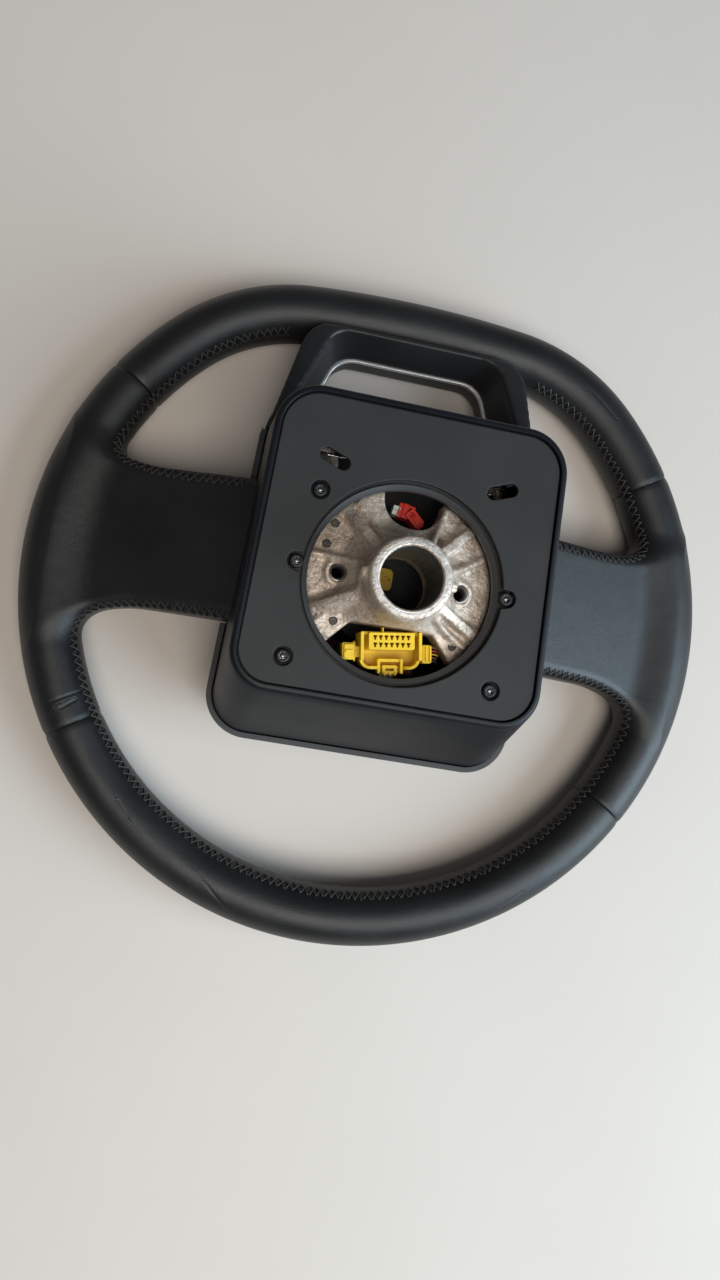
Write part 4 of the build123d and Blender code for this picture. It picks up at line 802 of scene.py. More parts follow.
@dataclass
class GripForm:
    """Padded form of the rim and both spokes, as a field that is zero on the leather's face."""

    line: RimLine = field(default_factory=RimLine)
    half_width: float = 15.5
    half_depth: float = 17.0
    low: float = -47.5
    high: float = 26.5
    root_x: float = 71.0
    tip_x: float = 163.0
    root_front: float = 16.0
    root_back: float = 45.0
    tip_front: float = -11.5
    tip_back: float = 11.5
    flare_x: float = 118.0
    flare_low: float = 9.0
    flare_high: float = 15.0
    flare_end: float = 1.2
    edge_share: float = 0.27
    blend: float = 15.0
    front_share: float = 0.05
    least_slope: float = 0.05
    crease_far: float = 50.0
    crease_low: float = 2.0
    seam_angles: tuple = (32.2, -32.6)
    creases: tuple = ((156.5, 81.4, 142.2, 73.3), (151.4, 84.2, 145.2, 79.0), (63.4, 161.8, 53.4, 171.4),
                      (114.8, 126.4, 108.3, 133.8), (-103.4, -137.1, -118.4, -125.5),
                      (-95.7, 152.6, -105.6, 143.1))

    def spoke_span(self, x: np.ndarray) -> tuple[np.ndarray, np.ndarray]:
        """Front and back heights of the spoke at distances from the axis."""
        share = (x - self.root_x) / (self.tip_x - self.root_x)
        front = self.root_front + share * (self.tip_front - self.root_front)
        return front, self.root_back + share * (self.tip_back - self.root_back)

    def spoke_edges(self, x: np.ndarray) -> tuple[np.ndarray, np.ndarray]:
        """Low and high sides of the spoke at distances from the axis, flared towards the rim."""
        flare = np.clip((x - self.flare_x) / (self.tip_x - self.flare_x), 0, self.flare_end) ** 2
        return self.low - self.flare_low * flare, self.high + self.flare_high * flare

    def rim(self, p: np.ndarray) -> np.ndarray:
        """Field of the rim alone."""
        out = self.line.outward(p[:, 0], p[:, 1])
        share = np.sqrt((out / self.half_width) ** 2 + (p[:, 2] / self.half_depth) ** 2)
        return (share - 1) * self.half_width

    def spoke(self, p: np.ndarray) -> np.ndarray:
        """Field of both spokes alone."""
        x = np.abs(p[:, 0])
        front, back = self.spoke_span(x)
        low, high = self.spoke_edges(x)
        half_y, half_z = (high - low) / 2, (back - front) / 2
        radius = self.edge_share * 2 * half_z
        qy = np.abs(p[:, 1] - (high + low) / 2) - half_y + radius
        qz = np.abs(p[:, 2] - (front + back) / 2) - half_z + radius
        body = np.hypot(np.maximum(qy, 0), np.maximum(qz, 0)) + np.minimum(np.maximum(qy, qz), 0) - radius
        return np.maximum(np.maximum(body, self.root_x - x), x - self.tip_x)

    def value(self, p: np.ndarray) -> np.ndarray:
        """Field of the whole form: below zero inside, zero on the face.

        Args:
            p: points in millimetres, heights from the rim's middle plane.

        Returns:
            One number for each point.
        """
        rim, spoke = self.rim(p), self.spoke(p)
        blend = self.blend * np.clip((p[:, 2] + self.half_depth) / self.half_depth, self.front_share, 1)
        near = np.maximum(blend - np.abs(rim - spoke), 0) / blend
        return np.minimum(rim, spoke) - near**2 * blend / 4

    def slope(self, p: np.ndarray, step: float = 0.05) -> np.ndarray:
        """Gradient of the field."""
        out = np.empty_like(p)
        for axis in range(3):
            shift = np.zeros(3)
            shift[axis] = step
            out[:, axis] = (self.value(p + shift) - self.value(p - shift)) / (2 * step)
        return out

    def settle(self, p: np.ndarray, rounds: int = 6) -> np.ndarray:
        """Moves points onto the leather's face."""
        for _ in range(rounds):
            slope = self.slope(p)
            p = p - slope * (self.value(p) / np.maximum((slope**2).sum(1), self.least_slope))[:, None]
        return p

    def seam_distance(self, p: np.ndarray) -> np.ndarray:
        """Signed distance along the rim to the nearest cross seam, in millimetres."""
        angle = np.degrees(np.arctan2(p[:, 1], np.abs(p[:, 0])))
        away = np.stack([angle - seam for seam in self.seam_angles], 1)
        nearest = np.take_along_axis(away, np.abs(away).argmin(1)[:, None], 1)[:, 0]
        return np.radians(nearest) * np.hypot(p[:, 0], p[:, 1])

    def crease_distance(self, p: np.ndarray) -> np.ndarray:
        """Signed distance in plan to the nearest crease on the back of the grip, in millimetres."""
        best = np.full(len(p), self.crease_far)
        for x0, y0, x1, y1 in self.creases:
            run = np.array([x1 - x0, y1 - y0])
            length = float(np.hypot(*run))
            run /= length
            dx, dy = p[:, 0] - x0, p[:, 1] - y0
            along, across = dx * run[0] + dy * run[1], dx * run[1] - dy * run[0]
            past = np.maximum(np.maximum(-along, along - length), 0)
            far = np.sign(across) * np.hypot(across, past)
            best = np.where((np.abs(far) < np.abs(best)) & (p[:, 2] > self.crease_low), far, best)
        return best


@dataclass
class GripLeather:
    """Leather of the rim and spokes in four sewn sections."""

    form: GripForm = field(default_factory=GripForm)
    voxel: float = 2.2
    rough_sides: int = 24
    rough_stations: int = 14
    seam_sink: float = 0.55
    seam_reach: float = 1.6
    names: tuple = ("leather_left", "leather_right", "leather_top", "leather_bottom")

    def rough_form(self) -> Piece:
        """Coarse closed form near the final one."""
        line, parts = self.form.line, []
        turn = full_turn(self.rough_sides)
        round_end, flat_end = line.round_end, line.flat_end
        x, y, radius = line.corner_x, line.corner_y, line.corner_radius
        arcs = [(0, 0, line.radius, round_end, math.pi - round_end, 90),
                (-x, y, radius, -math.pi - round_end, -math.pi - flat_end, 16),
                (0, line.flat_y, line.flat_radius, -math.pi - flat_end, flat_end, 12),
                (x, y, radius, flat_end, round_end, 16)]
        rings = []
        for cx, cy, radius, start, end, steps in arcs:
            for a in np.linspace(start, end, steps, endpoint=False):
                reach = radius + self.form.half_width * np.cos(turn)
                rings.append(np.stack([cx + reach * np.cos(a), cy + reach * np.sin(a),
                                       up(0) + self.form.half_depth * np.sin(turn)], 1))
        tyre = ring_faces(len(rings), self.rough_sides, True)
        parts.append(mesh_object("rough_rim", np.concatenate(rings), tyre))
        stations = np.linspace(self.form.root_x, self.form.tip_x, self.rough_stations)
        for side in (-1, 1):
            box = []
            for x in stations:
                front, back = self.form.spoke_span(x)
                low, high = self.form.spoke_edges(x)
                corners = ((low, front), (high, front), (high, back), (low, back))
                box += [(side * x, y, up(height)) for y, height in corners]
            last = 4 * (len(stations) - 1)
            quads = ring_faces(len(stations), 4, False) + [(3, 2, 1, 0), tuple(range(last, last + 4))]
            parts.append(mesh_object("rough_spoke", np.array(box), quads))
        rough = joined("rough_grip", parts)
        with edited(rough.data) as work:
            bmesh.ops.recalc_face_normals(work, faces=work.faces)
        return rough

    def on_face(self, piece: Piece) -> np.ndarray:
        """Settles a piece's points on the form, and returns them in the form's own heights."""
        verts = points_of(piece.data)
        verts[:, 2] -= up(0)
        verts = self.form.settle(verts)
        shown = verts.copy()
        shown[:, 2] += up(0)
        put_points(piece.data, shown)
        return verts

    def build(self) -> None:
        """Builds the four sections and dresses them."""
        rough = self.rough_form()
        near = remeshed("near_grip", rough, self.voxel, 0)
        bpy.data.objects.remove(rough)
        self.on_face(near)
        whole = remeshed("grip", near, self.voxel, 0)
        bpy.data.objects.remove(near)
        self.on_face(whole)
        fine = whole.modifiers.new("fine", "SUBSURF")
        fine.subdivision_type = "SIMPLE"
        fine.levels = 1
        settle(whole)
        verts = self.on_face(whole)
        seam = self.form.seam_distance(verts)
        sink = self.seam_sink * np.exp(-((seam / self.seam_reach) ** 2))
        sunk = verts - self.form.slope(verts) * sink[:, None]
        sunk[:, 2] += up(0)
        put_points(whole.data, sunk)
        for name, far in (("seam", seam), ("crease", self.form.crease_distance(verts))):
            mark = whole.data.attributes.new(name, "FLOAT", "POINT")
            mark.data.foreach_set("value", (far * MM).astype(np.float32))
        self.split(whole)

    def split(self, whole: Piece) -> None:
        """Parts the grip at its cross seams and places each section."""
        mesh = whole.data
        centres = np.empty(len(mesh.polygons) * 3, dtype=np.float32)
        mesh.polygons.foreach_get("center", centres)
        centres = centres.reshape(-1, 3)
        angle = np.degrees(np.arctan2(centres[:, 1], np.abs(centres[:, 0])))
        high, low = self.form.seam_angles
        section = np.where(angle > high, 2, np.where(angle < low, 3, np.where(centres[:, 0] > 0, 0, 1)))
        for number, name in enumerate(self.names):
            work = bmesh.new()
            work.from_mesh(mesh)
            work.faces.ensure_lookup_table()
            gone = [work.faces[i] for i in np.nonzero(section != number)[0]]
            bmesh.ops.delete(work, geom=gone, context="FACES")
            part = bpy.data.meshes.new(name)
            work.to_mesh(part)
            work.free()
            piece = linked(name + "_skin", part)
            shade_smooth(part)
            place(piece, LEATHER, "leather", name)
        bpy.data.objects.remove(whole)


@dataclass
class Stitching:
    """Crossed stitches along the inner edge of the rim and the spokes' edges."""

    form: GripForm = field(default_factory=GripForm)
    pitch: float = 4.2
    reach: float = 3.0
    thread: float = 0.38
    lift: float = 0.42
    root_gap: float = 3.0
    slant: float = 0.52
    spoke_slant: float = 0.30
    spoke_span: tuple = (122.0, 150.0)
    spoke_margin: float = 14.0
    wander: float = 0.45
    seed: int = 7
    windows: tuple = ((0, 92, -62, 242), (96, -84, -118, 142), (-96, -84, 38, 298))
    heights: tuple = (0.0, 44.5, 1.5)
    distances: tuple = (4.0, 190.0, 0.6)
    rays: int = 300
    evening: int = 14
    lean_share: float = 0.46
    lower_top: float = 20.0
    loop_half: float = 60.0

    def on_cap(self, p: np.ndarray) -> bool:
        """Whether a point lies on the flat inner end of a spoke."""
        return abs(p[0]) < self.form.root_x + self.root_gap and self.form.low < p[1] < self.form.high

    def wanted_slant(self, p: np.ndarray) -> np.ndarray:
        """How far the leather leans back under the stitches: more on the spokes than on the rim."""
        near, far = self.spoke_span
        share = np.clip((far - np.abs(p[:, 0])) / (far - near), 0, 1)
        low, high = self.form.low - self.spoke_margin, self.form.high + self.spoke_margin
        beside = (p[:, 1] > low) & (p[:, 1] < high)
        return self.slant + self.spoke_slant * share * beside

    def edge_line(self, x: float, y: float, start: float, end: float) -> np.ndarray:
        """Sewn edge seen from a point in a window of the wheel.

        Args:
            x: the point's place in plan.
            y: the point's place in plan.
            start: first direction in degrees.
            end: last direction in degrees.

        Returns:
            Points along the edge, heights from the rim's middle plane.
        """
        line = []
        heights, reach = np.arange(*self.heights), np.arange(*self.distances)
        for a in np.radians(np.linspace(start, end, self.rays)):
            grid = np.empty((len(heights), len(reach), 3))
            grid[..., 0], grid[..., 1] = x + reach * math.cos(a), y + reach * math.sin(a)
            grid[..., 2] = heights[:, None]
            first = (self.form.value(grid.reshape(-1, 3)).reshape(grid.shape[:2]) < 0).argmax(1)
            met = np.nonzero(first)[0]
            if len(met):
                faces = grid[met, first[met]]
                slope = self.form.slope(faces)
                rise = slope[:, 2] / np.linalg.norm(slope, axis=1)
                found = faces[np.abs(rise - self.wanted_slant(faces)).argmin()]
                if not self.on_cap(found):
                    line.append(found)
        line = np.array(line)
        for _ in range(self.evening):
            line[1:-1] = (line[:-2] + 2 * line[1:-1] + line[2:]) / 4
        return self.form.settle(line, 4)

    def stitches(self, line: np.ndarray) -> list:
        """Thread paths, two crossing each pitch of a sewn edge."""
        run = np.concatenate([[0], np.cumsum(np.linalg.norm(np.diff(line, axis=0), axis=1))])
        marks = np.arange(self.pitch, run[-1] - self.pitch, self.pitch)
        needle = np.random.default_rng(self.seed)
        marks += needle.uniform(-self.wander, self.wander, len(marks))
        at = np.stack([np.interp(marks, run, line[:, i]) for i in range(3)], 1)
        ahead = np.stack([np.interp(marks + 1.0, run, line[:, i]) for i in range(3)], 1)
        at = self.form.settle(at, 3)
        along = ahead - at
        along /= np.linalg.norm(along, axis=1)[:, None]
        normal = self.form.slope(at)
        normal /= np.linalg.norm(normal, axis=1)[:, None]
        across = np.cross(normal, along)
        across /= np.linalg.norm(across, axis=1)[:, None]
        paths = []
        for lean in (-1, 1):
            steps = []
            drawn = needle.uniform(-self.wander, self.wander, (2, len(marks), 1))
            crossing = 1.0 + 0.4 * (lean > 0)
            rises = (-0.7, 0.5, 0.9, crossing, 0.5, -0.7)
            for t, rise in zip((-1.0, -0.86, -0.4, 0.4, 0.86, 1.0), rises):
                p = at + across * (t * (self.reach + drawn[0]))
                p = p + along * (lean * t * (self.pitch * self.lean_share + drawn[1]))
                p = self.form.settle(p, 2)
                steps.append(p + normal * (rise * self.lift))
            paths += list(np.stack(steps, 1))
        return paths

    def build(self) -> None:
        """Builds all the stitches as one piece."""
        paths = []
        for window in self.windows:
            line = self.edge_line(*window)
            if line[:, 1].max() < self.lower_top:
                line = line[np.abs(line[:, 0]) > self.loop_half]
            paths += self.stitches(line)
        for path in paths:
            path[:, 2] += up(0)
        piece = tubes("edge_stitching", paths, self.thread, 6)
        place(piece, THREAD, "leather")


# Housing, plate and collar

@dataclass
class RearHousing:
    """Flared box behind the hub, with the lip that holds the plate."""

    lip_half: tuple = (69.4, 73.2)
    lip_ends: tuple = (-83.4, 58.6)
    lip_height: float = 95.5
    front_half: tuple = (71.6, 77.6)
    front_ends: tuple = (-91.4, 80.6)
    front_height: float = 30.5
    radii: tuple = (21.0, 19.0)
    wall: float = 2.8
    lip_round: float = 2.0
    lip_width: float = 3.0
    plate_front: float = 91.9
    back_wall: float = 2.5
    opening: float = 53.0
    foot_round: float = 0.6
    lip_edge: float = 0.3
    wall_rings: int = 12
    lip_rings: int = 7
    slot: tuple = (40.0, -51.0, 17.0, 8.4, 20.0)
    slot_cut: tuple = (80.0, 93.0)

    def outline(self, half: tuple, ends: tuple, grow: float) -> np.ndarray:
        """Plan with rounded corners, grown or shrunk evenly."""
        corners = [(-half[0] - grow, ends[0] - grow), (half[0] + grow, ends[0] - grow),
                   (half[1] + grow, ends[1] + grow), (-half[1] - grow, ends[1] + grow)]
        radii = [self.radii[0] + grow] * 2 + [self.radii[1] + grow] * 2
        return rounded_polygon(corners, radii, between=20)

    def ring(self, height: float, grow: float) -> np.ndarray:
        """Ring of the flared form at a height."""
        share = (self.lip_height - height) / (self.lip_height - self.front_height)
        plan = (1 - share) * self.outline(self.lip_half, self.lip_ends, grow)
        plan = plan + share * self.outline(self.front_half, self.front_ends, grow)
        return raised(plan, height)

    def build(self) -> None:
        """Builds the shell, pierces it for the slots and dresses it."""
        ceiling = self.plate_front - self.back_wall
        foot, brow = self.front_height + self.foot_round, self.lip_height - self.lip_round
        rings = [self.ring(ceiling, -self.wall), self.ring(foot, -self.wall)]
        rings += [self.ring(self.front_height, self.foot_round - self.wall),
                  self.ring(self.front_height, -self.foot_round)]
        rings += [self.ring(height, 0) for height in np.linspace(foot, brow, self.wall_rings)]
        for a in np.linspace(0, np.pi / 2, self.lip_rings)[1:]:
            rings.append(self.ring(brow + self.lip_round * math.sin(a), self.lip_round * (math.cos(a) - 1)))
        rings += [self.ring(self.lip_height, self.lip_edge - self.lip_width),
                  self.ring(self.lip_height - self.lip_edge, -self.lip_width),
                  self.ring(self.plate_front, -self.lip_width)]
        for height, edge in ((self.plate_front, rings[-1][:, :2]), (ceiling, rings[0][:, :2])):
            round_hole = edge / np.linalg.norm(edge, axis=1)[:, None] * self.opening
            rings.append(raised(round_hole, height))
        faces = ring_faces(len(rings), len(rings[0]), True)
        shell = mesh_object("rear_housing_shell", np.concatenate(rings), faces)
        crisp(shell)
        tools = [flat_piece("slot_tool", slot, [], *self.slot_cut, 0.1) for slot in slot_pair(self.slot)]
        cut(shell, tools)
        crisp(shell)
        place(shell, DARK_HOUSING_BLUE_SHEEN, "housing", "rear_housing")


@dataclass
class RearPlate:
    """Flat plate in the lip, with the hub opening, two slots and the screw cups."""

    housing: RearHousing = field(default_factory=RearHousing)
    groove: float = 0.7
    thick: float = 2.6
    opening: float = 47.8
    opening_steps: int = 360
    cup: float = 4.4
    slot: tuple = (40.0, -51.0, 15.0, 6.4, 20.0)
    screws: tuple = ((48.6, 42.0), (-48.6, 42.0), (44.4, -35.7))
    notches: tuple = ((49.6, -1.6), (-49.6, -1.6))
    edge: float = 0.5

    def hub_opening(self) -> np.ndarray:
        """Round opening with the two collar-screw notches that break into it."""
        turn = full_turn(self.opening_steps)
        ray = np.stack([np.cos(turn), np.sin(turn)], 1)
        reach = np.full(len(turn), self.opening)
        for x, y in self.notches:
            along = ray @ np.array([x, y])
            under = along**2 - (x * x + y * y - self.cup**2)
            far = along + np.sqrt(np.maximum(under, 0))
            reach = np.where((under > 0) & (along > 0), np.maximum(reach, far), reach)
        return ray * reach[:, None]

    def build(self) -> None:
        """Builds the plate and dresses it."""
        h = self.housing
        outer = h.outline(h.lip_half, h.lip_ends, -h.lip_width - self.groove)
        cups = [circle(x, y, self.cup) for x, y in self.screws]
        holes = [self.hub_opening(), *cups, *slot_pair(self.slot)]
        back = h.plate_front + self.thick
        plate = flat_piece("rear_plate_face", outer, holes, h.plate_front, back, self.edge)
        place(plate, PLATE, "plate", "rear_plate")


@dataclass
class HubCollar:
    """Tapered grey ring that lines the opening."""

    top: float = 46.6
    flange: float = 52.4
    groove_deep: float = 2.2
    flange_deep: float = 2.9
    lip: float = 43.8
    lip_height: float = 90.6
    wall: float = 2.2
    plate_front: float = 91.9
    low: float = 87.0

    def build(self) -> None:
        """Builds the ring and dresses it."""
        back, top, lip, low = self.plate_front, self.top, self.lip, self.low
        flange_front, groove, outer = back - self.flange_deep, back - self.groove_deep, lip + self.wall
        profile = [(top - 0.4, back), (top, back - 0.3), (top, groove), (self.flange, groove),
                   (self.flange, flange_front), (outer, flange_front), (outer, low), (lip + 0.3, low),
                   (lip, low + 0.3), (lip, self.lip_height - 0.5), (lip + 0.5, self.lip_height)]
        place(lathe("hub_collar_ring", profile), COLLAR, "collar", "hub_collar")


# Hub

@dataclass
class HubCasting:
    """Cast hub with a machined, serrated boss."""

    bore: float = 14.2
    boss: float = 18.6
    mouth: float = 117.0
    web_front: float = 71.0
    teeth: int = 78
    tooth: float = 0.5
    web: float = 45.6
    ridge: float = 1.7
    ridge_foot: float = 99.0
    ridge_back: float = 82.8
    ridge_fall: float = 2.2
    ridge_swirl: float = 5.0
    ridge_points: int = 14
    puller: tuple = (29.3, -1.0, 3.9)
    puller_cut: tuple = (65.0, 90.0)
    pad_height: float = 86.0
    thread_pitch: float = 1.25
    lip_width: float = 1.1
    lip_deep: float = 5.0
    boss_deep: float = 9.2
    voxel: float = 0.9
    wear: int = 2
    web_back: tuple = (31.0, 85.0, 81.5)
    ridge_angles: tuple = (-60.0, -46.0, -133.0, -119.0, 16.0, 28.0, 142.0, 155.0, -158.0, -16.0)
    marks: tuple = ((34.0, -23.7), (36.5, -13.4), (34.2, 20.6), (27.6, 21.6), (-30.0, 24.0), (-27.0, -36.0))
    mark_rings: tuple = ((2.1, -0.6), (2.05, 0.5), (1.75, 0.62), (1.6, 0.4), (0.3, 0.36))

    def build(self) -> None:
        """Builds the casting's skin, the turned boss and the bore's serrations."""
        form = copy_of(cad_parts["hub_casting"])
        weld(form)
        x, y, radius = self.puller
        cut(form, [flat_piece("puller_tool", circle(side * x, y, radius), [], *self.puller_cut, 0.1)
                   for side in (-1, 1)])
        rough = joined("rough_casting", [form, self.ridges()])
        skin = remeshed("hub_casting_skin", rough, self.voxel, self.wear)
        bpy.data.objects.remove(rough)
        place(skin, CAST, "cast", "hub_casting")
        place(self.ejector_marks(), MARK, "cast")
        place(self.puller_threads(), THREADED, "cast")
        rim, foot = self.bore + self.lip_width, self.mouth - self.boss_deep
        profile = [(rim, self.mouth), (self.boss - 1.5, self.mouth), (self.boss - 0.5, self.mouth - 0.5),
                   (self.boss + 0.1, self.mouth - 1.6), (self.boss + 0.35, self.mouth - 9.0),
                   (self.boss - 2.0, foot), (rim, foot)]
        place(lathe("boss_ring", profile), BOSS, "cast")
        inner, low = self.bore + 0.02, self.mouth - self.lip_deep
        lip = [(self.bore + 0.45, self.mouth - 0.55), (rim - 0.15, self.mouth + 0.02),
               (rim + 0.1, self.mouth + 0.02), (rim + 0.1, low), (inner, low), (inner, self.mouth - 1.0)]
        place(lathe("machined_lip", lip), LIP, "cast")
        place(self.serrations(), BORE, "cast")

    def web_height(self, x: float, y: float) -> float:
        """Height of the web's back face at a place in plan."""
        start, high, low = self.web_back
        return high - max(math.hypot(x, y) - start, 0) / (self.web - start) * (high - low)

    def puller_threads(self) -> Piece:
        """Threaded linings of the two puller holes."""
        x, y, radius = self.puller
        spans = [(radius + 0.4, self.web_front + 1), (radius + 0.4, self.pad_height - 0.2),
                 (radius - 0.1, self.pad_height)]
        crests = np.arange(self.pad_height - 0.6, self.web_front + 2, -self.thread_pitch / 2)
        spans += [(radius - (0.15 if i % 2 else 0.75), h) for i, h in enumerate(crests)]
        parts, steps = [], 40
        for side in (-1, 1):
            rings = [raised(circle(side * x, y, r, steps), h) for r, h in spans]
            parts.append(mesh_object("threads", np.concatenate(rings), ring_faces(len(spans), steps, True)))
        piece = joined("puller_threads", parts)
        crisp(piece, 30.0)
        return piece

    def ridges(self) -> Piece:
        """Rounded flow ridges from the boss's foot out over the web."""
        paths = []
        for angle in self.ridge_angles:
            reach = np.linspace(self.boss + 0.5, self.web - 1.5, self.ridge_points)
            share = (reach - reach[0]) / (reach[-1] - reach[0])
            height = self.ridge_back + (self.ridge_foot - self.ridge_back) * (1 - share) ** self.ridge_fall
            a = np.radians(angle + self.ridge_swirl * share)
            paths.append(np.stack([reach * np.cos(a), reach * np.sin(a), up(0) + height], 1))
        return tubes("ridges", paths, self.ridge, 12)

    def ejector_marks(self) -> Piece:
        """Shallow round marks that the mould's ejectors left on the web."""
        parts, steps, count = [], 24, len(self.mark_rings)
        faces = ring_faces(count, steps, False) + [tuple(range((count - 1) * steps, count * steps))]
        for x, y in self.marks:
            h = self.web_height(x, y)
            rings = [raised(circle(x, y, r, steps), h + rise) for r, rise in self.mark_rings]
            parts.append(mesh_object("mark", np.concatenate(rings), faces))
        piece = joined("ejector_marks", parts)
        crisp(piece)
        return piece

    def serrations(self) -> Piece:
        """Fine teeth inside the bore."""
        face, low, high = self.bore - 0.02, self.web_front + 8, self.mouth - 1.2
        toothed = face - np.tile([0.0, 0.5, 1.0, 0.5], self.teeth) * self.tooth
        steps = len(toothed)
        spans = ((face, high), (toothed, high - 1), (toothed, low + 1), (face, low),
                 (self.bore + 0.3, low), (self.bore + 0.3, high))
        rings = [raised(circle(0, 0, radius, steps), height) for radius, height in spans]
        piece = mesh_object("bore_serrations", np.concatenate(rings), ring_faces(len(spans), steps, True))
        crisp(piece, 20.0)
        return piece


@dataclass
class Screws:
    """Blackened pan-head screws seated in the plate's cups, with bright star sockets that are a painted
    glint.
    """

    seat: float = 91.9
    head: float = 3.4
    rise: float = 2.0
    socket: float = 1.55
    deep: float = 1.3
    lobes: int = 6
    steps: int = 72
    places: dict = field(default_factory=lambda: {
        "plate_screws": ((48.6, 42.0), (-48.6, 42.0)), "collar_screws": ((49.6, -1.6), (-49.6, -1.6)),
        "corner_screw": ((44.4, -35.7),)})

    def rings(self, spans: list, x: float, y: float) -> tuple[np.ndarray, list]:
        """Turned rings of lobed or round outline about a screw's axis, closed at the last one.

        Args:
            spans: radius, depth of the lobes and height of each ring.
            x: the screw's place in plan.
            y: the screw's place in plan.

        Returns:
            Points and faces.
        """
        turn = full_turn(self.steps)
        rings = [raised(circle(x, y, radius + lobe * np.cos(self.lobes * turn), self.steps), height)
                 for radius, lobe, height in spans]
        faces = ring_faces(len(spans), self.steps, False)
        faces.append(tuple(range((len(spans) - 1) * self.steps, len(spans) * self.steps)))
        return np.concatenate(rings), faces

    def build(self) -> None:
        """Builds each set of screws: its heads and the bright sockets that paint a glint on them."""
        top = self.seat + self.rise
        head = [(self.head, 0, self.seat), (self.head, 0, top - 0.8), (self.head - 0.25, 0, top - 0.35),
                (self.head - 0.8, 0, top - 0.05), (self.socket + 0.45, 0.16, top),
                (self.socket + 0.1, 0.16, top - 0.15), (self.socket, 0.16, top - self.deep)]
        # Bright plated rings in each socket: a painted glint on the blackened head.
        pin = [(self.socket + 0.1, 0.17, top - self.deep + 0.05),
               (self.socket * 0.8, 0.05, top - self.deep + 0.1),
               (self.socket * 0.5, 0, top - 0.75), (self.socket * 0.3, 0, top - 0.6)]
        for node, places in self.places.items():
            for spans, finish, label in ((head, DARK_SCREW, "heads"), (pin, PLATED_METAL_AND_GLINT, "sockets")):
                made = [mesh_object("screw", *self.rings(spans, x, y)) for x, y in places]
                piece = joined(f"{node}_{label}", made)
                crisp(piece)
                place(piece, finish, "screw", node)


@dataclass
class SpokeLoop:
    """Loop spoke at 6 o'clock, soft at its edges."""

    voxel: float = 1.1
    root: tuple = ((65.0, -87.0), (71.4, -87.0), (74.2, -76.5), (67.0, -76.5))
    root_heights: tuple = (12.0, 29.0)

    def build(self) -> None:
        """Builds the loop's skin, with its roots run on to the cover's edge, and dresses it."""
        roots = []
        for side in (-1, 1):
            plan = [(side * x, y) for x, y in self.root][::side]
            outline = rounded_polygon(plan, [0.8] * 4, 4)
            roots.append(flat_piece("root", outline, [], *self.root_heights, 0.5))
        rough = joined("rough_loop", [copy_of(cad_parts["loop_frame"]), *roots])
        skin = remeshed("loop_frame_skin", rough, self.voxel, 9)
        bpy.data.objects.remove(rough)
        place(skin, LOOP, "loop", "loop_frame")


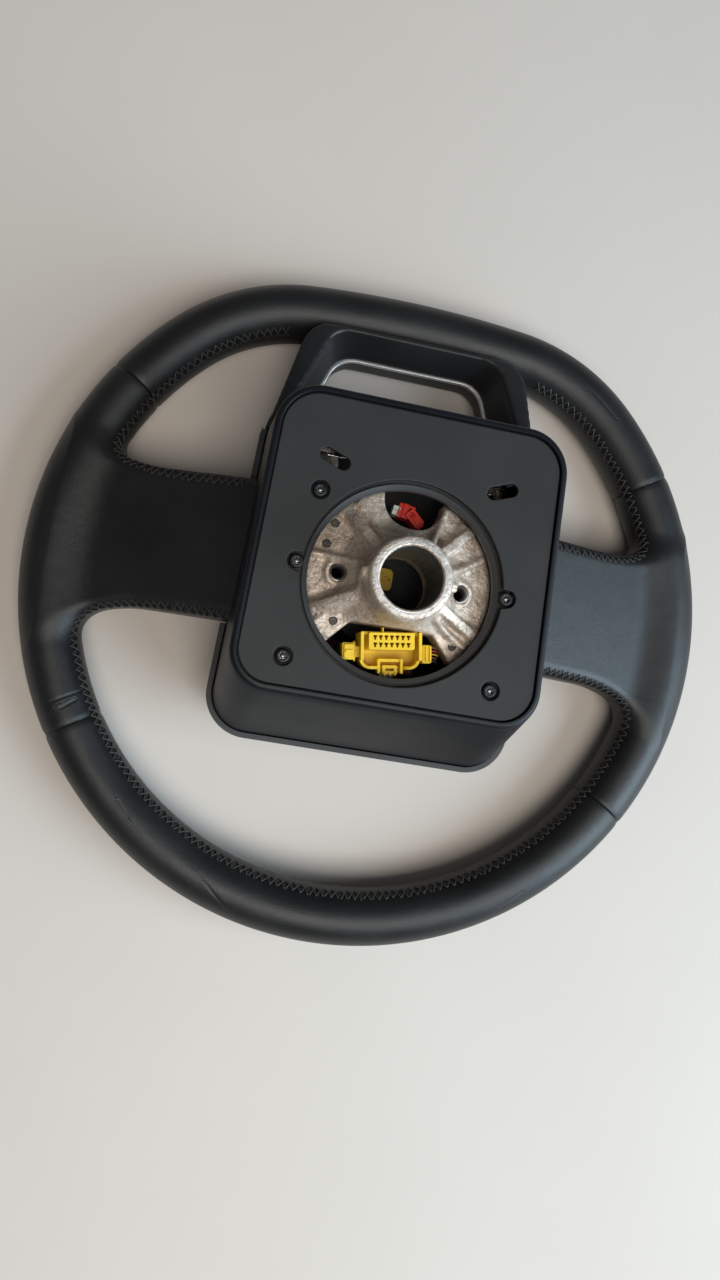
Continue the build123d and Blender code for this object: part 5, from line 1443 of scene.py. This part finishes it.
@dataclass
class Connector:
    """Yellow fourteen-way connector: pin block in a walled shell, with side wings and a front lock."""

    at: tuple = (0.5, 30.2, 8.8)
    shell: tuple = (-15.5, 13.3, -8.0, 9.6)
    wall: float = 1.5
    low: float = 72.0
    wall_top: float = 85.0
    ear_top: float = 89.4
    block: tuple = (-11.9, 9.6, -7.2, 0.7)
    block_top: float = 90.0
    pin_floor: float = 83.0
    columns: int = 7
    pitch: float = 2.6
    rows: tuple = (-5.4, -2.0)
    wire: float = 0.38

    def tee(self, x: float, y: float) -> np.ndarray:
        """Outline of one T-shaped pin hole."""
        shape = [(-0.85, -0.6), (0.85, -0.6), (0.85, 0.35), (0.42, 0.35),
                 (0.42, 1.5), (-0.42, 1.5), (-0.42, 0.35), (-0.85, 0.35)]
        return np.array(shape) + (x, y)

    def walls(self) -> list:
        """Shell, its well, the side ears and the pin block."""
        x0, x1, y0, y1 = self.shell
        inner = (x0 + self.wall, x1 - self.wall, y0 + self.wall, y1 - self.wall)
        well = rounded_box(inner, [0.8, 0.8, 3.5, 3.5], 8)
        outer = rounded_box(self.shell, [1.6, 1.6, 5.0, 5.0], 8)
        shell = flat_piece("shell", outer, [well], self.low, self.wall_top, 0.35)
        cut(shell, [slab((-7.6, 4.8, 6.0, 12.0), 80.6, 90.0)])
        middle = (self.block[0] + self.block[1]) / 2
        tees = [self.tee(middle + (i - (self.columns - 1) / 2) * self.pitch, y)
                for i in range(self.columns) for y in self.rows]
        return [shell, flat_piece("well_floor", well, [], self.low, 76.0, 0.2),
                slab(self.block, 74.0, self.pin_floor),
                slab(self.block, self.pin_floor, self.block_top, 0.9, tees, 0.12),
                slab((x0, x0 + self.wall, y0 + 0.4, 5.6), self.low, self.ear_top, 0.6),
                slab((x1 - self.wall, x1, y0 + 0.4, 5.6), self.low, self.ear_top, 0.6),
                slab((2.6, 3.2, -9.6, -7.0), 84.0, 89.2, 0.2)]

    def wings(self) -> list:
        """Stepped boxes at both ends."""
        return [slab((12.8, 15.6, -1.0, 4.0), 79.0, 84.0), slab((15.2, 21.5, -2.6, 5.3), 78.0, 86.0, 0.9),
                slab((16.0, 20.7, -1.8, 4.5), 85.5, 87.6), slab((16.6, 20.1, 0.7, 2.1), 87.0, 88.2, 0.4),
                slab((15.3, 16.0, -3.4, 6.0), 80.0, 85.0, 0.3), slab((-16.8, -15.2, -1.5, 5.0), 79.0, 84.0),
                slab((-20.8, -16.4, -2.0, 6.6), 78.0, 85.5, 0.9),
                slab((-20.6, -19.7, -1.6, 6.2), 85.0, 86.7, 0.3),
                slab((-18.7, -17.8, -1.6, 6.2), 85.0, 86.7, 0.3)]

    def lock(self) -> list:
        """Sliding lock in the front wall's gap."""
        grip = [slab((x - 0.4, x + 0.4, 10.9, 12.7), 77.5, 83.9, 0.3) for x in (-3.9, -1.4, 1.1)]
        slot = rounded_box((-3.4, 0.6, 9.1, 10.3), [0.3] * 4, 4)
        return grip + [slab((-7.5, -6.1, 4.6, 11.6), 77.0, 84.4, 0.5),
                       slab((3.3, 4.7, 4.6, 11.6), 77.0, 84.4, 0.5),
                       slab((-6.3, 3.5, 4.6, 6.1), 80.5, 83.6, 0.5),
                       slab((-5.0, 2.2, 7.6, 12.0), 76.0, 83.2, 0.6, (slot,)),
                       slab((-6.6, 3.8, 9.0, 10.8), 76.0, 80.6, 0.4)]

    def strands(self) -> list:
        """Thin wires from the right wing and from under the lock, down into the housing."""
        found = []
        for i, finish in enumerate((BROWN_WIRE, RED_WIRE, GOLD_WIRE, BROWN_WIRE, WIRE)):
            y, far = -1.0 + 1.6 * i, 3.6 + 0.5 * (i % 3)
            found.append((finish, [(-20.0, y, 81.0), (-21.5, y, 82.2), (-20.8 - far * 0.7, y + 0.4, 81.6),
                                   (-20.8 - far, y + 0.9, 78.0), (-20.6 - far, y + 1.2, 70.0),
                                   (-18.0, y, 60.0), (-12.0, y - 2.0, 52.0)]))
        for i, finish in enumerate((BROWN_WIRE, RED_WIRE, BROWN_WIRE, WIRE)):
            x = -7.5 - 1.4 * i
            found.append((finish, [(x, 8.8, 77.0), (x - 1.2, 10.4, 78.2), (x - 1.6, 12.4, 77.0),
                                   (x - 0.6, 13.8, 72.0), (x + 1.5, 13.2, 64.0), (x + 3.0, 10.0, 55.0)]))
        return found

    def build(self) -> None:
        """Builds the connector, its lock, its pale clip and its wires."""
        body = joined("connector_shell", self.walls() + self.wings())
        lock = joined("connector_lock_slide", self.lock())
        eyes = tuple(circle(x, 12.6, 0.5, 16) for x in (-1.6, 1.2))
        clip = slab((-3.4, 3.0, 11.6, 13.6), 75.0, 80.2, 0.5, eyes)
        clip.name = "connector_clip"
        place(turned(body, *self.at), YELLOW, "yellow", "connector_body")
        place(turned(lock, *self.at), YELLOW, "yellow", "connector_lock")
        place(turned(clip, *self.at), PALE, "pale")
        for number, (finish, knots) in enumerate(self.strands()):
            path = smooth_path(np.array(knots) + (0, 0, up(0)), 40)
            piece = tubes(f"connector_wire_{number}", [path], self.wire)
            place(turned(piece, *self.at), finish, "wire")


@dataclass
class AirbagPlug:
    """Red two-part plug in the web's notch, and the pale clip at its side."""

    head: tuple = (-0.6, -38.8, -8.0)
    arm: tuple = (-5.2, -35.6, 138.0)
    clip: tuple = (4.5, -38.5, -8.0)

    def build(self) -> None:
        """Builds the plug and the clip."""
        slot = rounded_box((-3.0, -1.4, -2.4, 2.2), [0.4] * 4, 4)
        head = [slab((-4.2, 4.2, -3.6, 3.6), 61.0, 67.6, 0.8, (slot,)),
                slab((-0.6, 1.9, -3.6, 3.6), 67.0, 68.7, 0.4),
                slab((3.2, 4.2, -3.2, 3.2), 67.0, 68.4, 0.3), slab((-4.0, 4.0, -2.0, 2.0), 60.0, 65.0)]
        gap = rounded_box((-3.6, -1.6, -1.3, 1.3), [0.4] * 4, 4)
        arm = [slab((-4.8, 4.2, -2.7, 2.7), 61.0, 70.2, 0.8, (gap,)),
               slab((-0.6, 3.4, -1.4, 1.4), 69.5, 71.2, 0.5),
               slab((3.8, 5.4, -2.0, 2.0), 61.0, 68.6, 0.5), slab((-4.6, 4.0, -1.9, 1.9), 60.0, 67.0)]
        halves = [turned(p, *self.head) for p in head] + [turned(p, *self.arm) for p in arm]
        place(joined("red_plug_halves", halves), RED, "red", "red_plug")
        pale = joined("pale_clip_halves", [slab((-1.9, 1.7, -2.3, -0.3), 61.0, 68.4, 0.4),
                                           slab((-1.9, 1.7, 0.2, 2.3), 61.0, 68.0, 0.4),
                                           slab((-1.6, 1.4, -1.9, 1.9), 61.0, 67.2, 0.3)])
        place(turned(pale, *self.clip), PALE, "pale", "pale_clip")


@dataclass
class Wiring:
    """Thin wires between the connector and the spokes, along the harness routes."""

    wire: float = 0.55
    spreads: dict = field(default_factory=lambda: {
        BROWN_WIRE: (-1.4, 0.8), RED_WIRE: (0.4, 2.2), WIRE: (1.6, -0.6)})

    def strand(self, side: int, offset: tuple, sag: float) -> np.ndarray:
        """One wire's route from the connector into a spoke.

        Args:
            side: 1 for the left, -1 for the right.
            offset: shift in plan at the connector.
            sag: how far its middle droops.

        Returns:
            Points along the wire.
        """
        dx, dy = offset
        knots = np.array([(10.7 + dx, 30.2 + dy, 69.5), (11.5 + dx, 30.0 + dy, 58.0),
                          (24.0, 27.0 + dy, 47.0 - sag), (42.0, 19.0, 43.0 - sag / 2), (57.0, 12.0, 40.0),
                          (65.0, 12.0 + dy * 0.1, 27.0), (72.0, 12.0 + dy * 0.1, 20.5)])
        path = smooth_path(knots, 60)
        path[:, 2] += up(0)
        return path * np.array([side, 1, 1])

    def build(self) -> None:
        """Builds both bundles of wires."""
        for side, node in ((1, "left_harness"), (-1, "right_harness")):
            for finish, spread in self.spreads.items():
                path = self.strand(side, spread, 1.0 + spread[0])
                piece = tubes(f"{node}_{finish.name}", [path], self.wire)
                place(piece, finish, "wire", node)


@dataclass
class HornSprings:
    """Coil springs round the module's pins."""

    radius: float = 5.4
    wire: float = 0.65
    low: float = 23.75
    high: float = 47.25
    turns: float = 5.0
    end_share: float = 0.06
    steps: int = 220
    ear_front: float = 48.0
    keep: float = 0.9
    pins: tuple = ((43.0, -59.0), (-43.0, -59.0), (42.0, 46.0), (-42.0, 46.0))

    def coil(self, x: float, y: float) -> np.ndarray:
        """Wire line of one spring, with closed turns at both ends.

        Args:
            x: the pin's place in plan.
            y: the pin's place in plan.

        Returns:
            Points along the wire.
        """
        turn = np.linspace(0, 2 * np.pi * self.turns, self.steps)
        share = np.interp(turn / turn[-1], (0, 1 / self.turns, 1 - 1 / self.turns, 1),
                          (0, self.end_share, 1 - self.end_share, 1))
        height = up(0) + self.low + share * (self.high - self.low)
        return np.stack([x + self.radius * np.cos(turn), y + self.radius * np.sin(turn), height], 1)

    def build(self) -> None:
        """Builds the four springs as one piece."""
        piece = tubes("horn_spring_coils", [self.coil(x, y) for x, y in self.pins], self.wire, 10)
        place(piece, SPRING, "spring", "horn_springs")
        up(self.ear_front) * MM
        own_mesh(piece)


@dataclass
class InflatorPlug:
    """Yellow plug on the inflator, seen deep through the bore."""

    at: tuple = (6.0, -6.0, 0.0)
    half: tuple = (7.5, 5.5)
    low: float = 47.0
    back: float = 54.0
    latch_back: float = 56.1
    slit: tuple = (-6.2, -1.4, -1.2, 0.2)

    def build(self) -> None:
        """Builds the plug's body with its slit, its collar and its latch."""
        x, y = self.half
        slit = rounded_box(self.slit, [0.35] * 4, 4)
        parts = [slab((-x, x, -y, y), self.back - 2.4, self.back, 2.4, (slit,)),
                 slab((-x + 0.4, x - 0.4, -y + 0.4, y - 0.4), self.low, self.back - 2.2, 2.2),
                 slab((-2.5, 2.5, -2.7, 2.7), self.back - 0.4, self.latch_back, 0.7)]
        plug = joined("inflator_plug_body", parts)
        place(turned(plug, *self.at), YELLOW, "yellow", "inflator_plug", body=Body.AIRBAG)


@dataclass
class PlainNodes:
    """Pieces whose CAD form stays: each gets its finish, and all but the sharp ones get worn edges."""

    edge: float = 0.35
    edge_angle: float = 38.0
    finishes: dict = field(default_factory=lambda: {
        "loop_trim": TRIM, "airbag_cover": COVER, "airbag_tray": TRAY, "module_pins": SPRING,
        "airbag_cushion": BAG, "airbag_inflator": INFLATOR, "inflator_nuts": PLATED_METAL_AND_GLINT, "lock_spring": SPRING,
        "rim_core": STEEL, "rim_foam": FOAM})
    pod: dict = field(default_factory=lambda: {
        "switch_pod": DARK_HOUSING_BLUE_SHEEN, "switch_board": BOARD, "roller": BUTTON, "button_high": BUTTON,
        "button_low": BUTTON, "button_inner": BUTTON, "button_outer": BUTTON})
    sharp: tuple = ("rim_core", "rim_foam", "lock_spring", "airbag_cushion")

    def build(self) -> None:
        """Dresses each carried-over node."""
        both = {f"{side}_{name}": finish for side in ("left", "right") for name, finish in self.pod.items()}
        for name, finish in {**self.finishes, **both}.items():
            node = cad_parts[name]
            node.data.materials.clear()
            node.data.materials.append(finish.material())
            if name not in self.sharp:
                weld(node)
                worn = node.modifiers.new("worn", "BEVEL")
                worn.width = self.edge * MM
                worn.segments = 2
                worn.limit_method = "ANGLE"
                worn.angle_limit = math.radians(self.edge_angle)
                even = node.modifiers.new("even", "WEIGHTED_NORMAL")
                even.weight = 100
            LOG.info("%s: %s", name, finish.name)


# Surroundings

@dataclass
class Studio:
    """Pale floor, soft light and the camera."""

    rest_height: float = -17.0
    floor_half: float = 4000.0
    aim: tuple = (0, 0, -0.1)
    turn: tuple = (0.275, -3.269, 0.101)
    shift: tuple = (5.909, -21.386, 533.728)
    focal_pixels: float = 960.0
    frame_height: float = 1280.0
    floor_colour: tuple = (0.61, 0.55, 0.495)

    def floor(self) -> None:
        """Lays the floor that the rim rests on."""
        half = self.floor_half
        corners = np.array([(-half, -half), (half, -half), (half, half), (-half, half)])
        floor = mesh_object("floor", raised(corners, self.rest_height), [(0, 1, 2, 3)], smooth=False)
        s = Shader("pale_floor")
        cloud = s.noise(3.0, 5.0, 0.6)
        darker = tuple(c * 0.95 for c in self.floor_colour)
        tone = s.mix(s.span(cloud, 0.35, 0.7, 0.0, 1.0), self.floor_colour, darker)
        floor.data.materials.append(s.wire(Base_Color=tone, Roughness=0.62))

    def lamp(self, name: str, at: tuple, size: float, power: float, colour: tuple) -> None:
        """Adds a soft square lamp that faces the hub.

        Args:
            name: the lamp's name.
            at: its place in metres.
            size: its side in metres.
            power: its power in watts.
            colour: its colour.
        """
        data = bpy.data.lights.new(name, "AREA")
        data.size, data.energy, data.color = size, power, colour
        lamp = linked(name, data)
        lamp.location = at
        lamp.rotation_euler = (Vector(self.aim) - Vector(at)).to_track_quat("-Z", "Y").to_euler()

    def camera(self) -> None:
        """Sets the camera at the photograph's view."""
        angle = math.sqrt(sum(c * c for c in self.turn))
        seen = np.array(Matrix.Rotation(angle, 3, Vector(self.turn).normalized()))
        at = -seen.T @ np.array(self.shift)
        at[2] += up(0)
        facing = (np.diag([1.0, -1.0, -1.0]) @ seen).T
        data = bpy.data.cameras.new("photo_view")
        data.sensor_fit = "AUTO"
        data.sensor_width = 36.0
        data.lens = self.focal_pixels / self.frame_height * data.sensor_width
        data.clip_start = 0.01
        view = linked("photo_view", data)
        view.matrix_world = Matrix.Translation(Vector(at * MM)) @ Matrix(facing.tolist()).to_4x4()
        bpy.context.scene.camera = view

    def build(self) -> None:
        """Builds the floor, the light and the camera."""
        self.floor()
        self.camera()
        self.lamp("window", (-1.65, 0.55, 0.9), 1.5, 62.0, (0.68, 0.86, 1.0))
        self.lamp("ceiling", (-0.2, 0.9, 2.1), 1.3, 33.0, (1.0, 0.95, 0.88))
        world = bpy.data.worlds.new("room")
        world.use_nodes = True
        sky = world.node_tree.nodes["Background"].inputs
        sky["Color"].default_value = (0.95, 0.97, 1.0, 1.0)
        sky["Strength"].default_value = 0.12
        bpy.context.scene.world = world
        bpy.context.scene.view_settings.view_transform = "Standard"


def main() -> None:
    """Builds every sub-assembly in order."""
    logging.basicConfig(level=logging.INFO, format="%(name)s %(message)s")
    Studio().build()
    form = GripForm()
    housing = RearHousing()
    for assembly in (GripLeather(form), Stitching(form), housing, RearPlate(housing), HubCollar(),
                     HubCasting(), Screws(), SpokeLoop(), Connector(), AirbagPlug(), Wiring(),
                     HornSprings(), InflatorPlug(), PlainNodes()):
        LOG.info("building %s", type(assembly).__name__)
        assembly.build()


if __name__ == "__main__":
    main()
